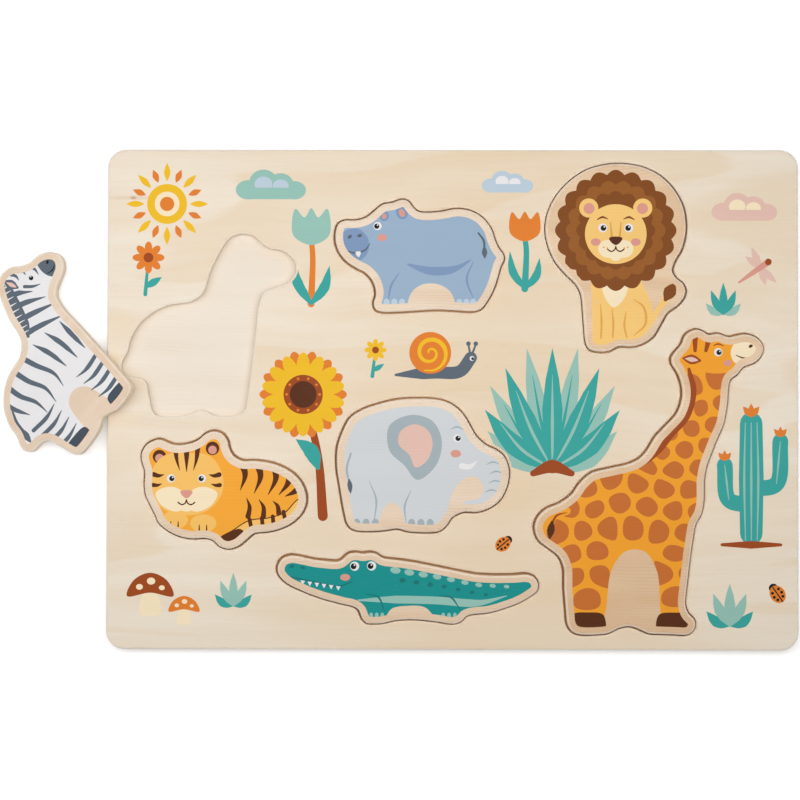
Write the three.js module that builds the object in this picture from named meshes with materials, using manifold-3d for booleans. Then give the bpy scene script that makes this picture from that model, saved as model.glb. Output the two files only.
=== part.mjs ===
// Wooden floor puzzle: a board of two glued panels with seven animal pieces.
// Six animals sit in their recesses; the zebra is out and leans on the board's left edge.
// Millimetres, +Z up, origin at the centre of the board's underside.

import * as THREE from 'three';
import { mergeVertices } from 'three/addons/utils/BufferGeometryUtils.js';
import Module from 'manifold-3d';

const wasm = await Module();
wasm.setup();

// Board: a plain base panel, and on it the panel with the recesses cut through
const BASE_THICKNESS = 3;
const CUTOUT_THICKNESS = 6;
const BOARD_CORNER_RADIUS = 12;
const BOARD_EDGE_ROUND = 1.5;

// Wood left between the outermost recesses and the board's edges; the board comes to 450 by 325
const LEFT_RAIL = 9.3;
const RIGHT_RAIL = 22.5;
const TOP_RAIL = 8.3;
const BOTTOM_RAIL = 9.3;

// Animal pieces: thicker than the recess is deep, so that fingers can take hold of them
const PIECE_THICKNESS = 9;
const PIECE_EDGE_ROUND = 2;
const SAW_GAP = 1;

// The zebra that has been taken out: how it is turned, and how it lies over the board's left edge
const ZEBRA_TURN = 49.5;
const ZEBRA_OVERLAP = 19;
const ZEBRA_ABOVE_MIDDLE = 29.5;
const REST_GAP = 0.3;

// Fineness of the curves
const SPLINE_STEPS = 12;
const CHORD_ERROR = 0.12;
const CORNER_STEPS = 5;
const EDGE_STEPS = 2;

// Wood of the two panels
const BASE_WOOD = { colour: 0xeee2d2, roughness: 0.62 };
const CUTOUT_WOOD = { colour: 0xe6d5bd, roughness: 0.55 };
const PAINT_ROUGHNESS = 0.5;

// Each animal: where it stands on the board, how far it has slid to the right and up in its recess, as a
// share of the saw gap, its paint, and the saw line round it, from its own foot line
const ANIMALS = {
  zebra: {
    place: [-164, -10],
    colour: 0xe8e6eb,
    sawLine: [
      [27, 117], [20, 114.8], [15, 109], [7, 93.4], [4.8, 85.5], [1.5, 78], [-6, 72.8], [-20, 70.5],
      [-31, 65.4], [-39.5, 58], [-45, 48.5], [-47.2, 40], [-50.3, 34], [-50.8, 29.5], [-47.6, 25],
      [-38, 23.4], [-34.6, 20], [-32.9, 12], [-31.3, 4], [-28.8, 0], [-25, -1.2], [-12, -0.7],
      [-6, 0.6], [0, 3.2], [5.4, 1.7], [9.5, -0.3], [24, 0], [28.6, 2.8], [30.2, 10], [35.2, 50],
      [37.6, 72], [41, 79.7], [48.2, 83.2], [56.4, 86.2], [61, 91.6], [61.3, 97.6], [58, 102.6],
      [52, 106.2], [45, 107.4], [40, 110.4], [34.5, 115.2],
    ],
  },
  hippo: {
    place: [-18, 58],
    slid: [0.3, 0],
    colour: 0x9db3ce,
    sawLine: [
      [-57, 55.8], [-52.6, 58.4], [-45, 58.6], [-38.6, 60.5], [-32.6, 65], [-28, 68.8], [-20.8, 70.3],
      [-15, 72.2], [-10.5, 70.9], [-7.8, 67.2], [-4.4, 64.4], [2, 63.7], [12, 64.6], [20, 66.1],
      [29, 65], [37.2, 60.6], [43.2, 53], [46.1, 44.8], [48.5, 40], [51.3, 36], [51.5, 32.4],
      [49.3, 27.6], [46.3, 17], [41.6, 6.8], [36.4, 0.2], [31.5, -1.3], [8, -0.3], [-28, -1.8],
      [-32.4, 0], [-33.8, 4.2], [-32.4, 10.6], [-34.3, 18], [-39, 23.6], [-45.4, 27], [-52, 31.7],
      [-57, 38.6], [-58.9, 47],
    ],
  },
  lion: {
    place: [107, 32],
    slid: [-0.4, 0.1],
    colour: 0x8c5026,
    sawLine: [
      [-1, 121.6], [-20, 117.3], [-35, 106], [-43.8, 92.6], [-46.7, 79], [-44.6, 67], [-39.6, 56.5],
      [-32, 47.7], [-26.6, 42.3], [-23.6, 36.4], [-22.2, 25], [-20.2, 4], [-17.8, 0.2], [-14, -1.2],
      [-5.4, -1.2], [-2.2, 0.4], [1.4, 2], [10, 1.9], [17.3, 4], [24, 8.8], [28.4, 16], [33, 23.8],
      [40.2, 29.3], [44.4, 35], [45, 39.4], [43, 43.7], [39, 47], [36.4, 51.8], [38, 57.3],
      [42.8, 66.2], [45.3, 78.6], [43.6, 93], [37.1, 105.2], [28, 114], [15.8, 119.7],
    ],
  },
  tiger: {
    place: [-150, -97],
    slid: [-0.2, -0.2],
    colour: 0xf8ac3a,
    sawLine: [
      [-40.5, 71], [-34.5, 69.3], [-29.5, 67.5], [-20, 68.5], [-14.5, 71], [-9.5, 75], [-4, 76.4],
      [1.2, 74.6], [4.6, 70], [5.8, 65], [8.5, 60.5], [14, 57.4], [23.2, 57.2], [35, 55.2],
      [46, 49.9], [53.2, 42], [56, 32], [53.5, 23.5], [46.2, 16.1], [36, 11.6], [29, 10.2],
      [22.2, 9.5], [17.4, 5.8], [12.4, 1.6], [5.5, -0.7], [-0.6, 0.9], [-5, 4.8], [-10, 6.2],
      [-18.6, 5.9], [-27, 7.5], [-35.2, 11.6], [-41, 17], [-42.9, 21.8], [-46, 27.9], [-49, 34],
      [-50, 42], [-49.7, 50], [-51.6, 56], [-51.8, 61.8], [-48.3, 67.6],
    ],
  },
  elephant: {
    place: [-21, -85],
    slid: [0.3, -0.1],
    colour: 0xd2d6d9,
    sawLine: [
      [-51.2, 63], [-46, 72.8], [-38, 78.3], [-27, 82.3], [-14, 85.1], [0, 85.9], [12, 85],
      [20.4, 82.2], [27.2, 76.6], [32, 69.5], [36.2, 62], [42.8, 55.8], [50.8, 51.7], [55.2, 47.5],
      [58, 39], [57, 29.3], [52, 19.3], [44, 13.5], [36, 11.4], [28, 11.4], [21, 7.9], [17.4, 2.9],
      [13.9, -0.3], [10, -1.6], [-7.8, -1.2], [-14.4, 0.5], [-20, -0.1], [-26, -0.9], [-40, -0.9],
      [-45, 0.8], [-48, 5], [-49.5, 11], [-52.3, 26], [-54.5, 42], [-54, 54],
    ],
  },
  crocodile: {
    place: [-31, -145],
    slid: [0.4, -0.3],
    colour: 0x2a9691,
    sawLine: [
      [-74, 44], [-68, 43.5], [-60, 41.7], [-52, 40.6], [-42.6, 40.5], [-39.3, 43], [-36, 45.3],
      [-31, 46], [-26.8, 45.4], [-22.4, 46], [-18, 45], [-13.8, 42.5], [0, 40.8], [12, 38.8],
      [38, 33.5], [47, 31.9], [60, 31.3], [72, 31.6], [79, 32.1], [84, 30.3], [86.8, 26],
      [86.2, 21], [82.8, 18], [75, 13.3], [64, 9], [53, 6.2], [44, 5.3], [40, 4], [37, 1],
      [33, -0.7], [27, -0.6], [20, 0.7], [6.2, 1.9], [-6, 1.3], [-14, -0.5], [-20, -0.9],
      [-24.9, -0.4], [-28, 3], [-30.2, 8.1], [-33.6, 10.3], [-42, 12.2], [-55, 15.8], [-68, 20.8],
      [-77, 25.6], [-82, 31], [-82.9, 36], [-80, 41.6],
    ],
  },
  giraffe: {
    place: [112, -152],
    slid: [0.3, -0.1],
    colour: 0xf09e2d,
    sawLine: [
      [46, 197.9], [50.6, 196.7], [54, 194.6], [60.2, 195.2], [67.4, 193.1], [73, 194.3],
      [78, 194.9], [84.2, 193.2], [88.6, 189.2], [89.9, 185], [87.5, 178.8], [83, 175.3],
      [77, 173], [72.5, 167.9], [68.6, 164.8], [67.3, 160], [66.6, 150], [64, 136], [58, 122],
      [53, 108], [51.4, 98], [51.4, 87], [49.5, 77.6], [46, 71], [44.1, 61.6], [40, 29],
      [39.4, 19], [41.4, 13.6], [45, 9.8], [45.8, 5.8], [44, 2], [40.6, -0.5], [28, -0.4],
      [15, 0.2], [10, 2.4], [3, 4.6], [-4, 3.5], [-11, 0.2], [-16, -0.6], [-30, -0.6],
      [-34.8, 1.5], [-37.7, 6], [-39, 17], [-40, 30], [-40.2, 42], [-43.2, 49.6], [-49.4, 54.9],
      [-56, 60], [-59.2, 68], [-57.5, 75], [-52, 81], [-43, 85], [-35, 90.8], [-29.5, 98.4],
      [-22, 104.7], [-10, 108], [2, 110.7], [9, 114.2], [14, 119.6], [19.6, 128.6], [26, 135.5],
      [33, 143.2], [36.4, 153], [36.1, 161.6], [33, 170], [30, 174.8], [29.4, 179], [32.1, 183.5],
      [36, 188], [38.3, 193.6], [41.5, 196.3],
    ],
  },
};

const BOARD_THICKNESS = BASE_THICKNESS + CUTOUT_THICKNESS;

// A smooth closed line through the given points, run anticlockwise
function smoothLoop(points) {
  const knots = points.map(([x, y]) => new THREE.Vector3(x, y, 0));
  const curve = new THREE.CatmullRomCurve3(knots, true, 'centripetal');
  const loop = curve.getPoints(knots.length * SPLINE_STEPS).slice(0, -1);
  const flat = loop.map((point) => new THREE.Vector2(point.x, point.y));
  return THREE.ShapeUtils.isClockWise(flat) ? flat.reverse() : flat;
}

// The same loop moved outwards by a distance, or inwards where it is negative
function offsetLoop(loop, distance) {
  return loop.map((point, index) => {
    const before = loop.at(index - 1);
    const after = loop[(index + 1) % loop.length];
    const along = after.clone().sub(before).normalize();
    return new THREE.Vector2(point.x + along.y * distance, point.y - along.x * distance);
  });
}

// How far the points between two corners of a loop stray from the straight line joining them
function strayOf(loop, first, last) {
  const start = loop[first];
  const along = loop[last].clone().sub(start).normalize();
  let stray = 0;
  for (let index = first + 1; index < last; index += 1) {
    stray = Math.max(stray, Math.abs(along.cross(loop[index].clone().sub(start))));
  }
  return stray;
}

// The loop with only the points that keep its chords within the chord error
function thinnedLoop(loop) {
  const closed = [...loop, loop[0]];
  const kept = [loop[0]];
  let first = 0;
  for (let last = 2; last < closed.length; last += 1) {
    if (strayOf(closed, first, last) > CHORD_ERROR) {
      first = last - 1;
      kept.push(closed[first]);
    }
  }
  return kept;
}

// An animal's outline in its own frame: the edge of the piece, or of the recess it drops into
function outlineOf(animal, offset) {
  return thinnedLoop(offsetLoop(smoothLoop(animal.sawLine), offset));
}

function pieceOutline(animal) {
  return outlineOf(animal, -SAW_GAP / 2);
}

function recessOutline(animal) {
  const [x, y] = animal.place;
  return outlineOf(animal, SAW_GAP / 2).map((point) => new THREE.Vector2(point.x + x, point.y + y));
}

// The board's rectangle: the reach of all recesses, and the rails round them
const RECESSES = Object.values(ANIMALS).map(recessOutline);
const REACH = new THREE.Box2().setFromPoints(RECESSES.flat());
const BOARD = new THREE.Box2(
  new THREE.Vector2(REACH.min.x - LEFT_RAIL, REACH.min.y - BOTTOM_RAIL),
  new THREE.Vector2(REACH.max.x + RIGHT_RAIL, REACH.max.y + TOP_RAIL),
);

function boardShape() {
  const shape = new THREE.Shape();
  const inner = BOARD.clone().expandByScalar(-BOARD_CORNER_RADIUS);
  const quarter = Math.PI / 2;
  shape.absarc(inner.max.x, inner.max.y, BOARD_CORNER_RADIUS, 0, quarter);
  shape.absarc(inner.min.x, inner.max.y, BOARD_CORNER_RADIUS, quarter, 2 * quarter);
  shape.absarc(inner.min.x, inner.min.y, BOARD_CORNER_RADIUS, 2 * quarter, 3 * quarter);
  shape.absarc(inner.max.x, inner.min.y, BOARD_CORNER_RADIUS, 3 * quarter, 4 * quarter);
  return shape;
}

// A flat plate between two heights, with all the edges of both its faces rounded
function roundedPlate(shape, bottom, top, round) {
  const plate = new THREE.ExtrudeGeometry(shape, {
    depth: top - bottom - 2 * round,
    curveSegments: CORNER_STEPS,
    bevelThickness: round,
    bevelSize: round,
    bevelOffset: -round,
    bevelSegments: EDGE_STEPS,
  });
  return plate.translate(0, 0, bottom + round);
}

// A box that reaches past the board on every side, between two heights
function slab(bottom, top) {
  const size = BOARD.getSize(new THREE.Vector2()).addScalar(2 * BOARD_CORNER_RADIUS);
  const centre = BOARD.getCenter(new THREE.Vector2());
  const box = new THREE.BoxGeometry(size.x, size.y, top - bottom);
  return box.translate(centre.x, centre.y, (bottom + top) / 2);
}

function toSolid(geometry) {
  const bare = geometry.clone();
  bare.deleteAttribute('normal');
  bare.deleteAttribute('uv');
  const merged = mergeVertices(bare);
  const vertProperties = Float32Array.from(merged.attributes.position.array);
  const triVerts = Uint32Array.from(merged.index.array);
  return new wasm.Manifold(new wasm.Mesh({ numProp: 3, vertProperties, triVerts }));
}

function toGeometry(solid) {
  const { vertProperties, triVerts } = solid.getMesh();
  const geometry = new THREE.BufferGeometry();
  geometry.setAttribute('position', new THREE.BufferAttribute(vertProperties, 3));
  geometry.setIndex(new THREE.BufferAttribute(triVerts, 1));
  geometry.computeVertexNormals();
  return geometry;
}

function cut(geometry, tool) {
  return toGeometry(toSolid(geometry).subtract(toSolid(tool)));
}

function namedMesh(name, geometry, colour, roughness) {
  const material = new THREE.MeshStandardMaterial({ color: colour, roughness, metalness: 0 });
  const mesh = new THREE.Mesh(geometry, material);
  mesh.name = name;
  return mesh;
}

// Base panel: its lower edge is rounded, its upper face is flat for the glue
function basePanel() {
  const blank = roundedPlate(boardShape(), 0, BOARD_THICKNESS, BOARD_EDGE_ROUND);
  const panel = cut(blank, slab(BASE_THICKNESS, 2 * BOARD_THICKNESS));
  return namedMesh('base_panel', panel, BASE_WOOD.colour, BASE_WOOD.roughness);
}

// Cut-out panel: its upper edges, the recesses' too, are rounded, and its lower face is flat
function cutoutPanel() {
  const shape = boardShape();
  shape.holes = RECESSES.map((recess) => new THREE.Path(recess));
  const blank = roundedPlate(shape, 0, BOARD_THICKNESS, BOARD_EDGE_ROUND);
  const panel = cut(blank, slab(-BOARD_THICKNESS, BASE_THICKNESS));
  return namedMesh('cutout_panel', panel, CUTOUT_WOOD.colour, CUTOUT_WOOD.roughness);
}

// An animal piece lying flat, its foot line at the origin and its underside at zero height
function animalPiece(name) {
  const animal = ANIMALS[name];
  const shape = new THREE.Shape(pieceOutline(animal));
  const piece = roundedPlate(shape, 0, PIECE_THICKNESS, PIECE_EDGE_ROUND);
  return namedMesh(name, piece, animal.colour, PAINT_ROUGHNESS);
}

// An animal dropped into its recess, down on the base panel, where it has a saw gap of play
function seatedPiece(name) {
  const piece = animalPiece(name);
  const { place, slid } = ANIMALS[name];
  const [x, y] = place.map((middle, axis) => middle + slid[axis] * SAW_GAP);
  piece.position.set(x, y, BASE_THICKNESS);
  return piece;
}

// The zebra lies with its left rim on the floor and its underside on the board's rounded upper edge
function looseZebra() {
  const zebra = animalPiece('zebra');
  zebra.rotation.z = THREE.MathUtils.degToRad(ZEBRA_TURN);
  const middle = new THREE.Vector2();
  const turned = pieceOutline(ANIMALS.zebra).map((point) => point.rotateAround(middle, zebra.rotation.z));
  const spread = new THREE.Box2().setFromPoints(turned);
  const flatReach = spread.max.x - spread.min.x - PIECE_EDGE_ROUND;
  const floorLine = BOARD.min.x + ZEBRA_OVERLAP - flatReach;

  const edgeAway = BOARD.min.x + BOARD_EDGE_ROUND - floorLine;
  const edgeUp = BOARD_THICKNESS - BOARD_EDGE_ROUND;
  const clear = Math.asin((BOARD_EDGE_ROUND + REST_GAP) / Math.hypot(edgeAway, edgeUp));
  const tilt = Math.atan2(edgeUp, edgeAway) + clear;

  const rim = PIECE_EDGE_ROUND * (1 - Math.tan(tilt / 2));
  zebra.position.set(-rim - spread.min.x, -spread.getCenter(middle).y, 0);
  const lean = new THREE.Group();
  lean.rotation.y = -tilt;
  lean.position.set(floorLine, BOARD.getCenter(middle).y + ZEBRA_ABOVE_MIDDLE, 0);
  lean.add(zebra);
  return lean;
}

const layout = new THREE.Group();
layout.add(basePanel(), cutoutPanel(), looseZebra());
for (const name of Object.keys(ANIMALS)) {
  if (name !== 'zebra') {
    layout.add(seatedPiece(name));
  }
}
const boardCentre = BOARD.getCenter(new THREE.Vector2());
layout.position.set(-boardCentre.x, -boardCentre.y, 0);

const floorPuzzle = new THREE.Group();
floorPuzzle.name = 'floor_puzzle';
floorPuzzle.add(layout);

export default floorPuzzle;
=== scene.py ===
"""Wooden floor puzzle: a plywood board with seven animal recesses and seven printed lift-out pieces.

The outlines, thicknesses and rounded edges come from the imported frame. Lengths below are in millimetres,
in the frame's own axes, and the meshes are made in metres.
"""

import logging
import math
from abc import ABC, abstractmethod
from dataclasses import dataclass, field, replace
from enum import Enum
from functools import cache

import bpy
import numpy as np
from mathutils import Matrix, Vector
from mathutils.geometry import delaunay_2d_cdt


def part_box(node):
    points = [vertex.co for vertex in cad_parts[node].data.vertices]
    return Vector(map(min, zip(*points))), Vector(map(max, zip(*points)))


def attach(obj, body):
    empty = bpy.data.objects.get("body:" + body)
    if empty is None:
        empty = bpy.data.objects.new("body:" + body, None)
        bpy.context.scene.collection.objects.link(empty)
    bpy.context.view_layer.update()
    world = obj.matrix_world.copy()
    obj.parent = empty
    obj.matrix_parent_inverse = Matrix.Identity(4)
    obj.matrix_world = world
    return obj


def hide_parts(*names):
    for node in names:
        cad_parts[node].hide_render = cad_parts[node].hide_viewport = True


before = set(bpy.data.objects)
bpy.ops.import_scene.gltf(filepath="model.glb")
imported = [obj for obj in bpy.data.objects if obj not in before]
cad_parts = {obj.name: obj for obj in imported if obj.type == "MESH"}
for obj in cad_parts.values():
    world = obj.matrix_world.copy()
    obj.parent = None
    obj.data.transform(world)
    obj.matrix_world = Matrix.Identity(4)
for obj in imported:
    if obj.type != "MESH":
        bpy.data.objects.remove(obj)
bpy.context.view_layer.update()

LOG = logging.getLogger("floor_puzzle")
SEATED = ("hippo", "lion", "tiger", "elephant", "crocodile", "giraffe")
GRAIN_PLACE = "grain_place"
SAWN = "sawn"
MM = 0.001
# Lengths that differ by less than this, in millimetres, count as equal
SLACK = 0.01
# A corner of a shifted outline moves by at most the shift divided by this
MITRE_LIMIT = 0.5
# Fewest and most points of an ellipse
OVAL_POINTS = (14, 84)
# Points round one lobe of a scalloped rim, and round the end of a brush stroke
LOBE_POINTS = 12
END_POINTS = 9
# How often the corners of a cell are cut to round it
CORNER_CUTS = 3

Loop = np.ndarray
Point = tuple[float, float]
Triple = tuple[float, float, float]
Socket = bpy.types.NodeSocket


class Ink(Enum):
    """Colours of the print, as sRGB hex values; BARE leaves the wood showing."""

    BARE = None
    TEAL = 0x39A69F
    LIGHT_TEAL = 0x98C4B8
    DEEP_TEAL = 0x167674
    BROWN = 0x9F491B
    DARK_BROWN = 0x562A10
    ORANGE = 0xE5812E
    YELLOW = 0xF3BF26
    CREAM = 0xFBE8C4
    PINK = 0xE8C2B4
    ROSE = 0xDF9C8C
    SLATE = 0x5C6874
    IRON = 0x464E59
    # Not print: a painted warm tint laid on the base panel in the saw gaps, for the brown shade and bounce
    # light there
    GAP_SHADE_TINT = 0xF4C896
    SKY = 0xBFD0DD
    WHITE = 0xEDEBEC
    BLACK = 0x14100F
    HIPPO_BLUE = 0x9BB3CA
    HIPPO_SHADE = 0x8099BC
    ELEPHANT_GREY = 0xD4D8DA
    ELEPHANT_SHADE = 0xA7B4B9
    CROCODILE_TEAL = 0x16928F
    TIGER_ORANGE = 0xFAAB38
    TIGER_LIGHT = 0xFBC468
    LION_YELLOW = 0xFACC7A
    LION_SHADE = 0xE4A850
    MANE_BROWN = 0x82491B
    MANE_LIGHT = 0x985C26
    GIRAFFE_ORANGE = 0xF7A42C
    GIRAFFE_PATCH = 0xCA7030


class Wood(Enum):
    """The cuts of plywood in the puzzle."""

    BASE = "base_plywood"
    BOARD = "board_plywood"
    PIECE = "piece_plywood"
    TAN_PIECE = "tan_piece_plywood"
    LIGHTER_GAP_PIECE = "lighter_gap_piece_plywood"
    LOOSE_PIECE = "loose_piece_plywood"


@dataclass(frozen=True)
class WoodFinish:
    """Sanded, clear-lacquered plywood.

    Attributes:
        light: colour of the early wood, sRGB hex.
        dark: colour of the late wood.
        streak: colour of the mineral streaks, the growth lines and the knot.
        tone: colour of the broad darker zones of the sheet.
        edge: colour of the rounded edges: a painted highlight for the light that they catch, over the paler
            wood of the sanding.
        sawn: colour of the long plies on a sawn wall; per cut it is tuned to how dark the saw gaps look, so
            it carries painted shade and painted light.
        cross: colour of the cross plies on a sawn wall, tuned the same way.
        ply: thickness of a ply in millimetres.
        seed: shifts the grain, so that sheets differ.
        contrast: how far the figure goes from light to dark.
        lines: strength of the growth lines.
        line_gap: distance between growth lines in millimetres.
        flame: strength of the flame-shaped patches of darker wood.
        heart: strength of a darker, tanner zone that fades out from its middle.
        dark_zone_place: middle of that zone, in millimetres from the middle of the board.
        dark_zone_reach: half its length, width and height.
        knot: where a pin knot lies, in millimetres from the middle of the board.
        knot_strength: how dark the knot is.
        stain: strength of the stain round the knot, as a share of the knot's.
        fibres: how far the fibres vary the mix of early and late wood.
        tones: strength of the broad darker zones.
        streaks: strength of the mineral streaks.
        pores: strength of the pores.
        wear: how far the rounded edges take the edge colour.
        roughness: mean roughness of the lacquer.
        polish: roughness that hands take off.
        edge_roughness: roughness that sanding adds to the edges.
        gloss: specular level of the lacquer.
        relief: height of the raised fibres in millimetres.
    """

    light: int
    dark: int
    streak: int
    tone: int
    edge: int
    sawn: int
    cross: int
    ply: float
    seed: float
    contrast: float
    lines: float
    line_gap: float
    flame: float = 0.0
    heart: float = 0.0
    dark_zone_place: Triple = (0.0, 0.0, 0.0)
    dark_zone_reach: Triple = (1000.0, 1000.0, 1000.0)
    knot: Triple = (0.0, 0.0, 0.0)
    knot_strength: float = 0.0
    stain: float = 0.3
    fibres: float = 0.3
    tones: float = 0.75
    streaks: float = 0.14
    pores: float = 0.12
    wear: float = 0.7
    roughness: float = 0.5
    polish: float = 0.1
    edge_roughness: float = 0.08
    gloss: float = 0.22
    relief: float = 0.12


@dataclass(frozen=True)
class SawnFinish:
    """Bare sawn walls, which show the plies.

    Attributes:
        glue_width: half the width of a glue line, as a share of a ply.
        glue: how dark the glue lines are.
        cross: how far a cross ply takes its own colour.
        saw: how dark the marks of the saw are.
        roughness: mean roughness of the bare wood.
        saw_roughness: roughness that the marks of the saw add.
        gloss: specular level of the bare wood.
        relief: height of the raised fibres in millimetres.
    """

    glue_width: float = 0.06
    glue: float = 0.3
    cross: float = 0.7
    saw: float = 0.25
    roughness: float = 0.75
    saw_roughness: float = 0.2
    gloss: float = 0.1
    relief: float = 0.2


@dataclass(frozen=True)
class InkFinish:
    """A satin screen print, thin enough for the grain to show.

    Attributes:
        show_through: how far the figure darkens the ink.
        dark: brightness of the ink at its darkest, as a share.
        thin_spots: how far the wood shows at the coarsest fibres.
        thin_fibres: fibre values between which the wood begins to show.
        roughness: mean roughness of the ink film.
        polish: roughness that hands take off.
        fibre_roughness: roughness that the fibres add.
        gloss: specular level of the ink film.
        relief: height of the raised fibres in millimetres.
    """

    show_through: float = 0.06
    dark: float = 0.55
    thin_spots: float = 0.012
    thin_fibres: tuple[float, float] = (0.52, 0.8)
    roughness: float = 0.46
    polish: float = 0.08
    fibre_roughness: float = 0.08
    gloss: float = 0.1
    relief: float = 0.08


@dataclass(frozen=True)
class GrainPattern:
    """How fine the parts of the grain are, in waves per metre along, across and through the veneer.

    Attributes:
        seed_step: how far one whole seed shifts the grain, in metres.
        sway: the slow bending of the grain.
        sway_reach: how far it bends, in metres.
        cloud: the broad zones of the sheet.
        figure: the mix of early and late wood.
        swell: the flames.
        drift: the wandering of the growth lines.
        faint: the stretches where growth lines fade.
        streak: the mineral streaks.
        fibre: the fibres.
        pore: the pores.
        saw: the marks of the saw on a wall.
        patch: the uneven sanding of the edges.
    """

    seed_step: Triple = (7.3, 4.1, 2.9)
    sway: Triple = (11.0, 17.0, 17.0)
    sway_reach: Triple = (0.0, 0.014, 0.0)
    cloud: Triple = (1.6, 7.0, 7.0)
    figure: Triple = (6.0, 75.0, 75.0)
    swell: Triple = (3.5, 13.0, 13.0)
    drift: Triple = (6.0, 24.0, 24.0)
    faint: Triple = (14.0, 60.0, 60.0)
    streak: Triple = (4.5, 120.0, 120.0)
    fibre: Triple = (55.0, 1250.0, 1250.0)
    pore: Triple = (170.0, 1700.0, 1700.0)
    saw: Triple = (900.0, 900.0, 120.0)
    patch: Triple = (120.0, 120.0, 120.0)


# Each edge colour below is a painted highlight on the rounded edges, over the paler sanded wood
WOODS = {
    Wood.BASE: WoodFinish(
        light=0xF0E6D8, dark=0xE8DAC6, streak=0xDDBE98, tone=0xEBDAC3, edge=0xF8F0E6, sawn=0xE9D5BA,
        cross=0xC9A57C, ply=1.0, seed=3.1, contrast=0.5, lines=0.07, line_gap=2.6, flame=0.2, roughness=0.55),
    Wood.BOARD: WoodFinish(
        # Painted light: the board's sawn walls are paler, to lighten the shade along the recess walls and in
        # the saw gaps
        light=0xF0E4D2, dark=0xE6D3B9, streak=0xC59B6C, tone=0xE5C9A1, edge=0xF7EDE0, sawn=0xF8ECD8,
        # The board's dark zone lies round x = 30 mm and fades towards its left and right ends
        cross=0xF2E2C8, ply=1.2, seed=10.46, contrast=0.4, lines=0.03, line_gap=4.2, flame=0.36, heart=0.6,
        dark_zone_place=(30.0, -60.0, 0.0), dark_zone_reach=(220.0, 800.0, 1000.0),
        knot=(-208.0, 131.0, 0.0), knot_strength=0.8),
    Wood.PIECE: WoodFinish(
        # Painted shade: the seated pieces' sawn walls are warmer and darker than the loose piece's, so that
        # the shade in their saw gaps looks brown
        light=0xF0DCC6, dark=0xE1C5A6, streak=0xB3855A, tone=0xD9B38B, edge=0xF8EBDB, sawn=0xF4D3A4,
        # The seated pieces' dark zone lies towards the board's lower edge
        cross=0xE6B67E, ply=1.2857, seed=1.7, contrast=0.5, lines=0.16, line_gap=1.9, flame=0.2, heart=0.6,
        dark_zone_place=(0.0, -160.0, 0.0), dark_zone_reach=(700.0, 150.0, 1000.0)),
}
WOODS[Wood.TAN_PIECE] = replace(WOODS[Wood.PIECE], light=0xEBCFAE, dark=0xDAB48B, tone=0xD2A87C, seed=2.3)
# Painted light: the lion's sawn walls are paler, to lighten the shade in its saw gap
WOODS[Wood.LIGHTER_GAP_PIECE] = replace(WOODS[Wood.TAN_PIECE], sawn=0xFAF0E0, cross=0xF6E4CA)
WOODS[Wood.LOOSE_PIECE] = replace(
    WOODS[Wood.PIECE], light=0xEBD7C2, dark=0xDCC0A2, sawn=0xF6E9D6, cross=0xEEDCC2, heart=0.0)
WALL = SawnFinish()
PRINT = InkFinish()
GRAIN = GrainPattern()


def linear(colour: int) -> tuple[float, float, float, float]:
    """Turn an sRGB colour into the linear one that a shader takes.

    Args:
        colour: the colour as 0xRRGGBB.

    Returns:
        Red, green, blue and alpha.
    """
    parts = [(colour >> shift & 0xFF) / 255 for shift in (16, 8, 0)]
    red, green, blue = (c / 12.92 if c <= 0.04045 else ((c + 0.055) / 1.055) ** 2.4 for c in parts)
    return red, green, blue, 1.0


# Flat outlines


def anticlockwise(loop: Loop) -> Loop:
    """Return the loop run anticlockwise."""
    ahead = np.roll(loop, -1, axis=0)
    turned_area = np.sum(loop[:, 0] * ahead[:, 1] - loop[:, 1] * ahead[:, 0])
    return loop if turned_area > 0 else loop[::-1]


def smooth(points: Loop | list[Point], closed: bool = True, step: float = 1.2, straight: float = 1e9) -> Loop:
    """Draw a centripetal spline through points.

    Args:
        points: the points that the line passes through.
        closed: whether the line comes back to its first point.
        step: rough spacing of the points returned.
        straight: stretches longer than this stay straight.

    Returns:
        Points along the line; an open line keeps its last point.
    """
    knots = np.asarray(points, dtype=float)
    if closed:
        ring = np.vstack([knots[-1:], knots, knots[:2]])
    else:
        ring = np.vstack([2 * knots[0] - knots[1], knots, 2 * knots[-1] - knots[-2]])
    line = []
    for p0, p1, p2, p3 in zip(ring, ring[1:], ring[2:], ring[3:]):
        length = np.linalg.norm(p2 - p1)
        if length > straight:
            line.append(p1[None])
            continue
        t1 = math.sqrt(np.linalg.norm(p1 - p0))
        t2 = t1 + math.sqrt(length)
        t3 = t2 + math.sqrt(np.linalg.norm(p3 - p2))
        t = np.linspace(t1, t2, max(2, round(length / step)), endpoint=False)[:, None]
        a1 = p0 + (p1 - p0) * t / t1
        a2 = p1 + (p2 - p1) * (t - t1) / (t2 - t1)
        a3 = p2 + (p3 - p2) * (t - t2) / (t3 - t2)
        b1 = a1 + (a2 - a1) * t / t2
        b2 = a2 + (a3 - a2) * (t - t1) / (t3 - t1)
        line.append(b1 + (b2 - b1) * (t - t1) / (t2 - t1))
    if not closed:
        line.append(knots[-1:])
    return np.vstack(line)


def moved(loop: Loop, inwards: float) -> Loop:
    """Shift a loop towards its left-hand side, where the material is.

    Args:
        loop: the loop, with the material on its left.
        inwards: how far it moves into the material.

    Returns:
        The shifted loop, point for point.
    """
    ahead = np.roll(loop, -1, axis=0) - loop
    ahead /= np.linalg.norm(ahead, axis=1)[:, None]
    left = np.stack([-ahead[:, 1], ahead[:, 0]], axis=1)
    middle = left + np.roll(left, 1, axis=0)
    middle /= np.linalg.norm(middle, axis=1)[:, None]
    stretch = np.maximum(np.sum(middle * left, axis=1), MITRE_LIMIT)[:, None]
    return loop + inwards * middle / stretch


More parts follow.
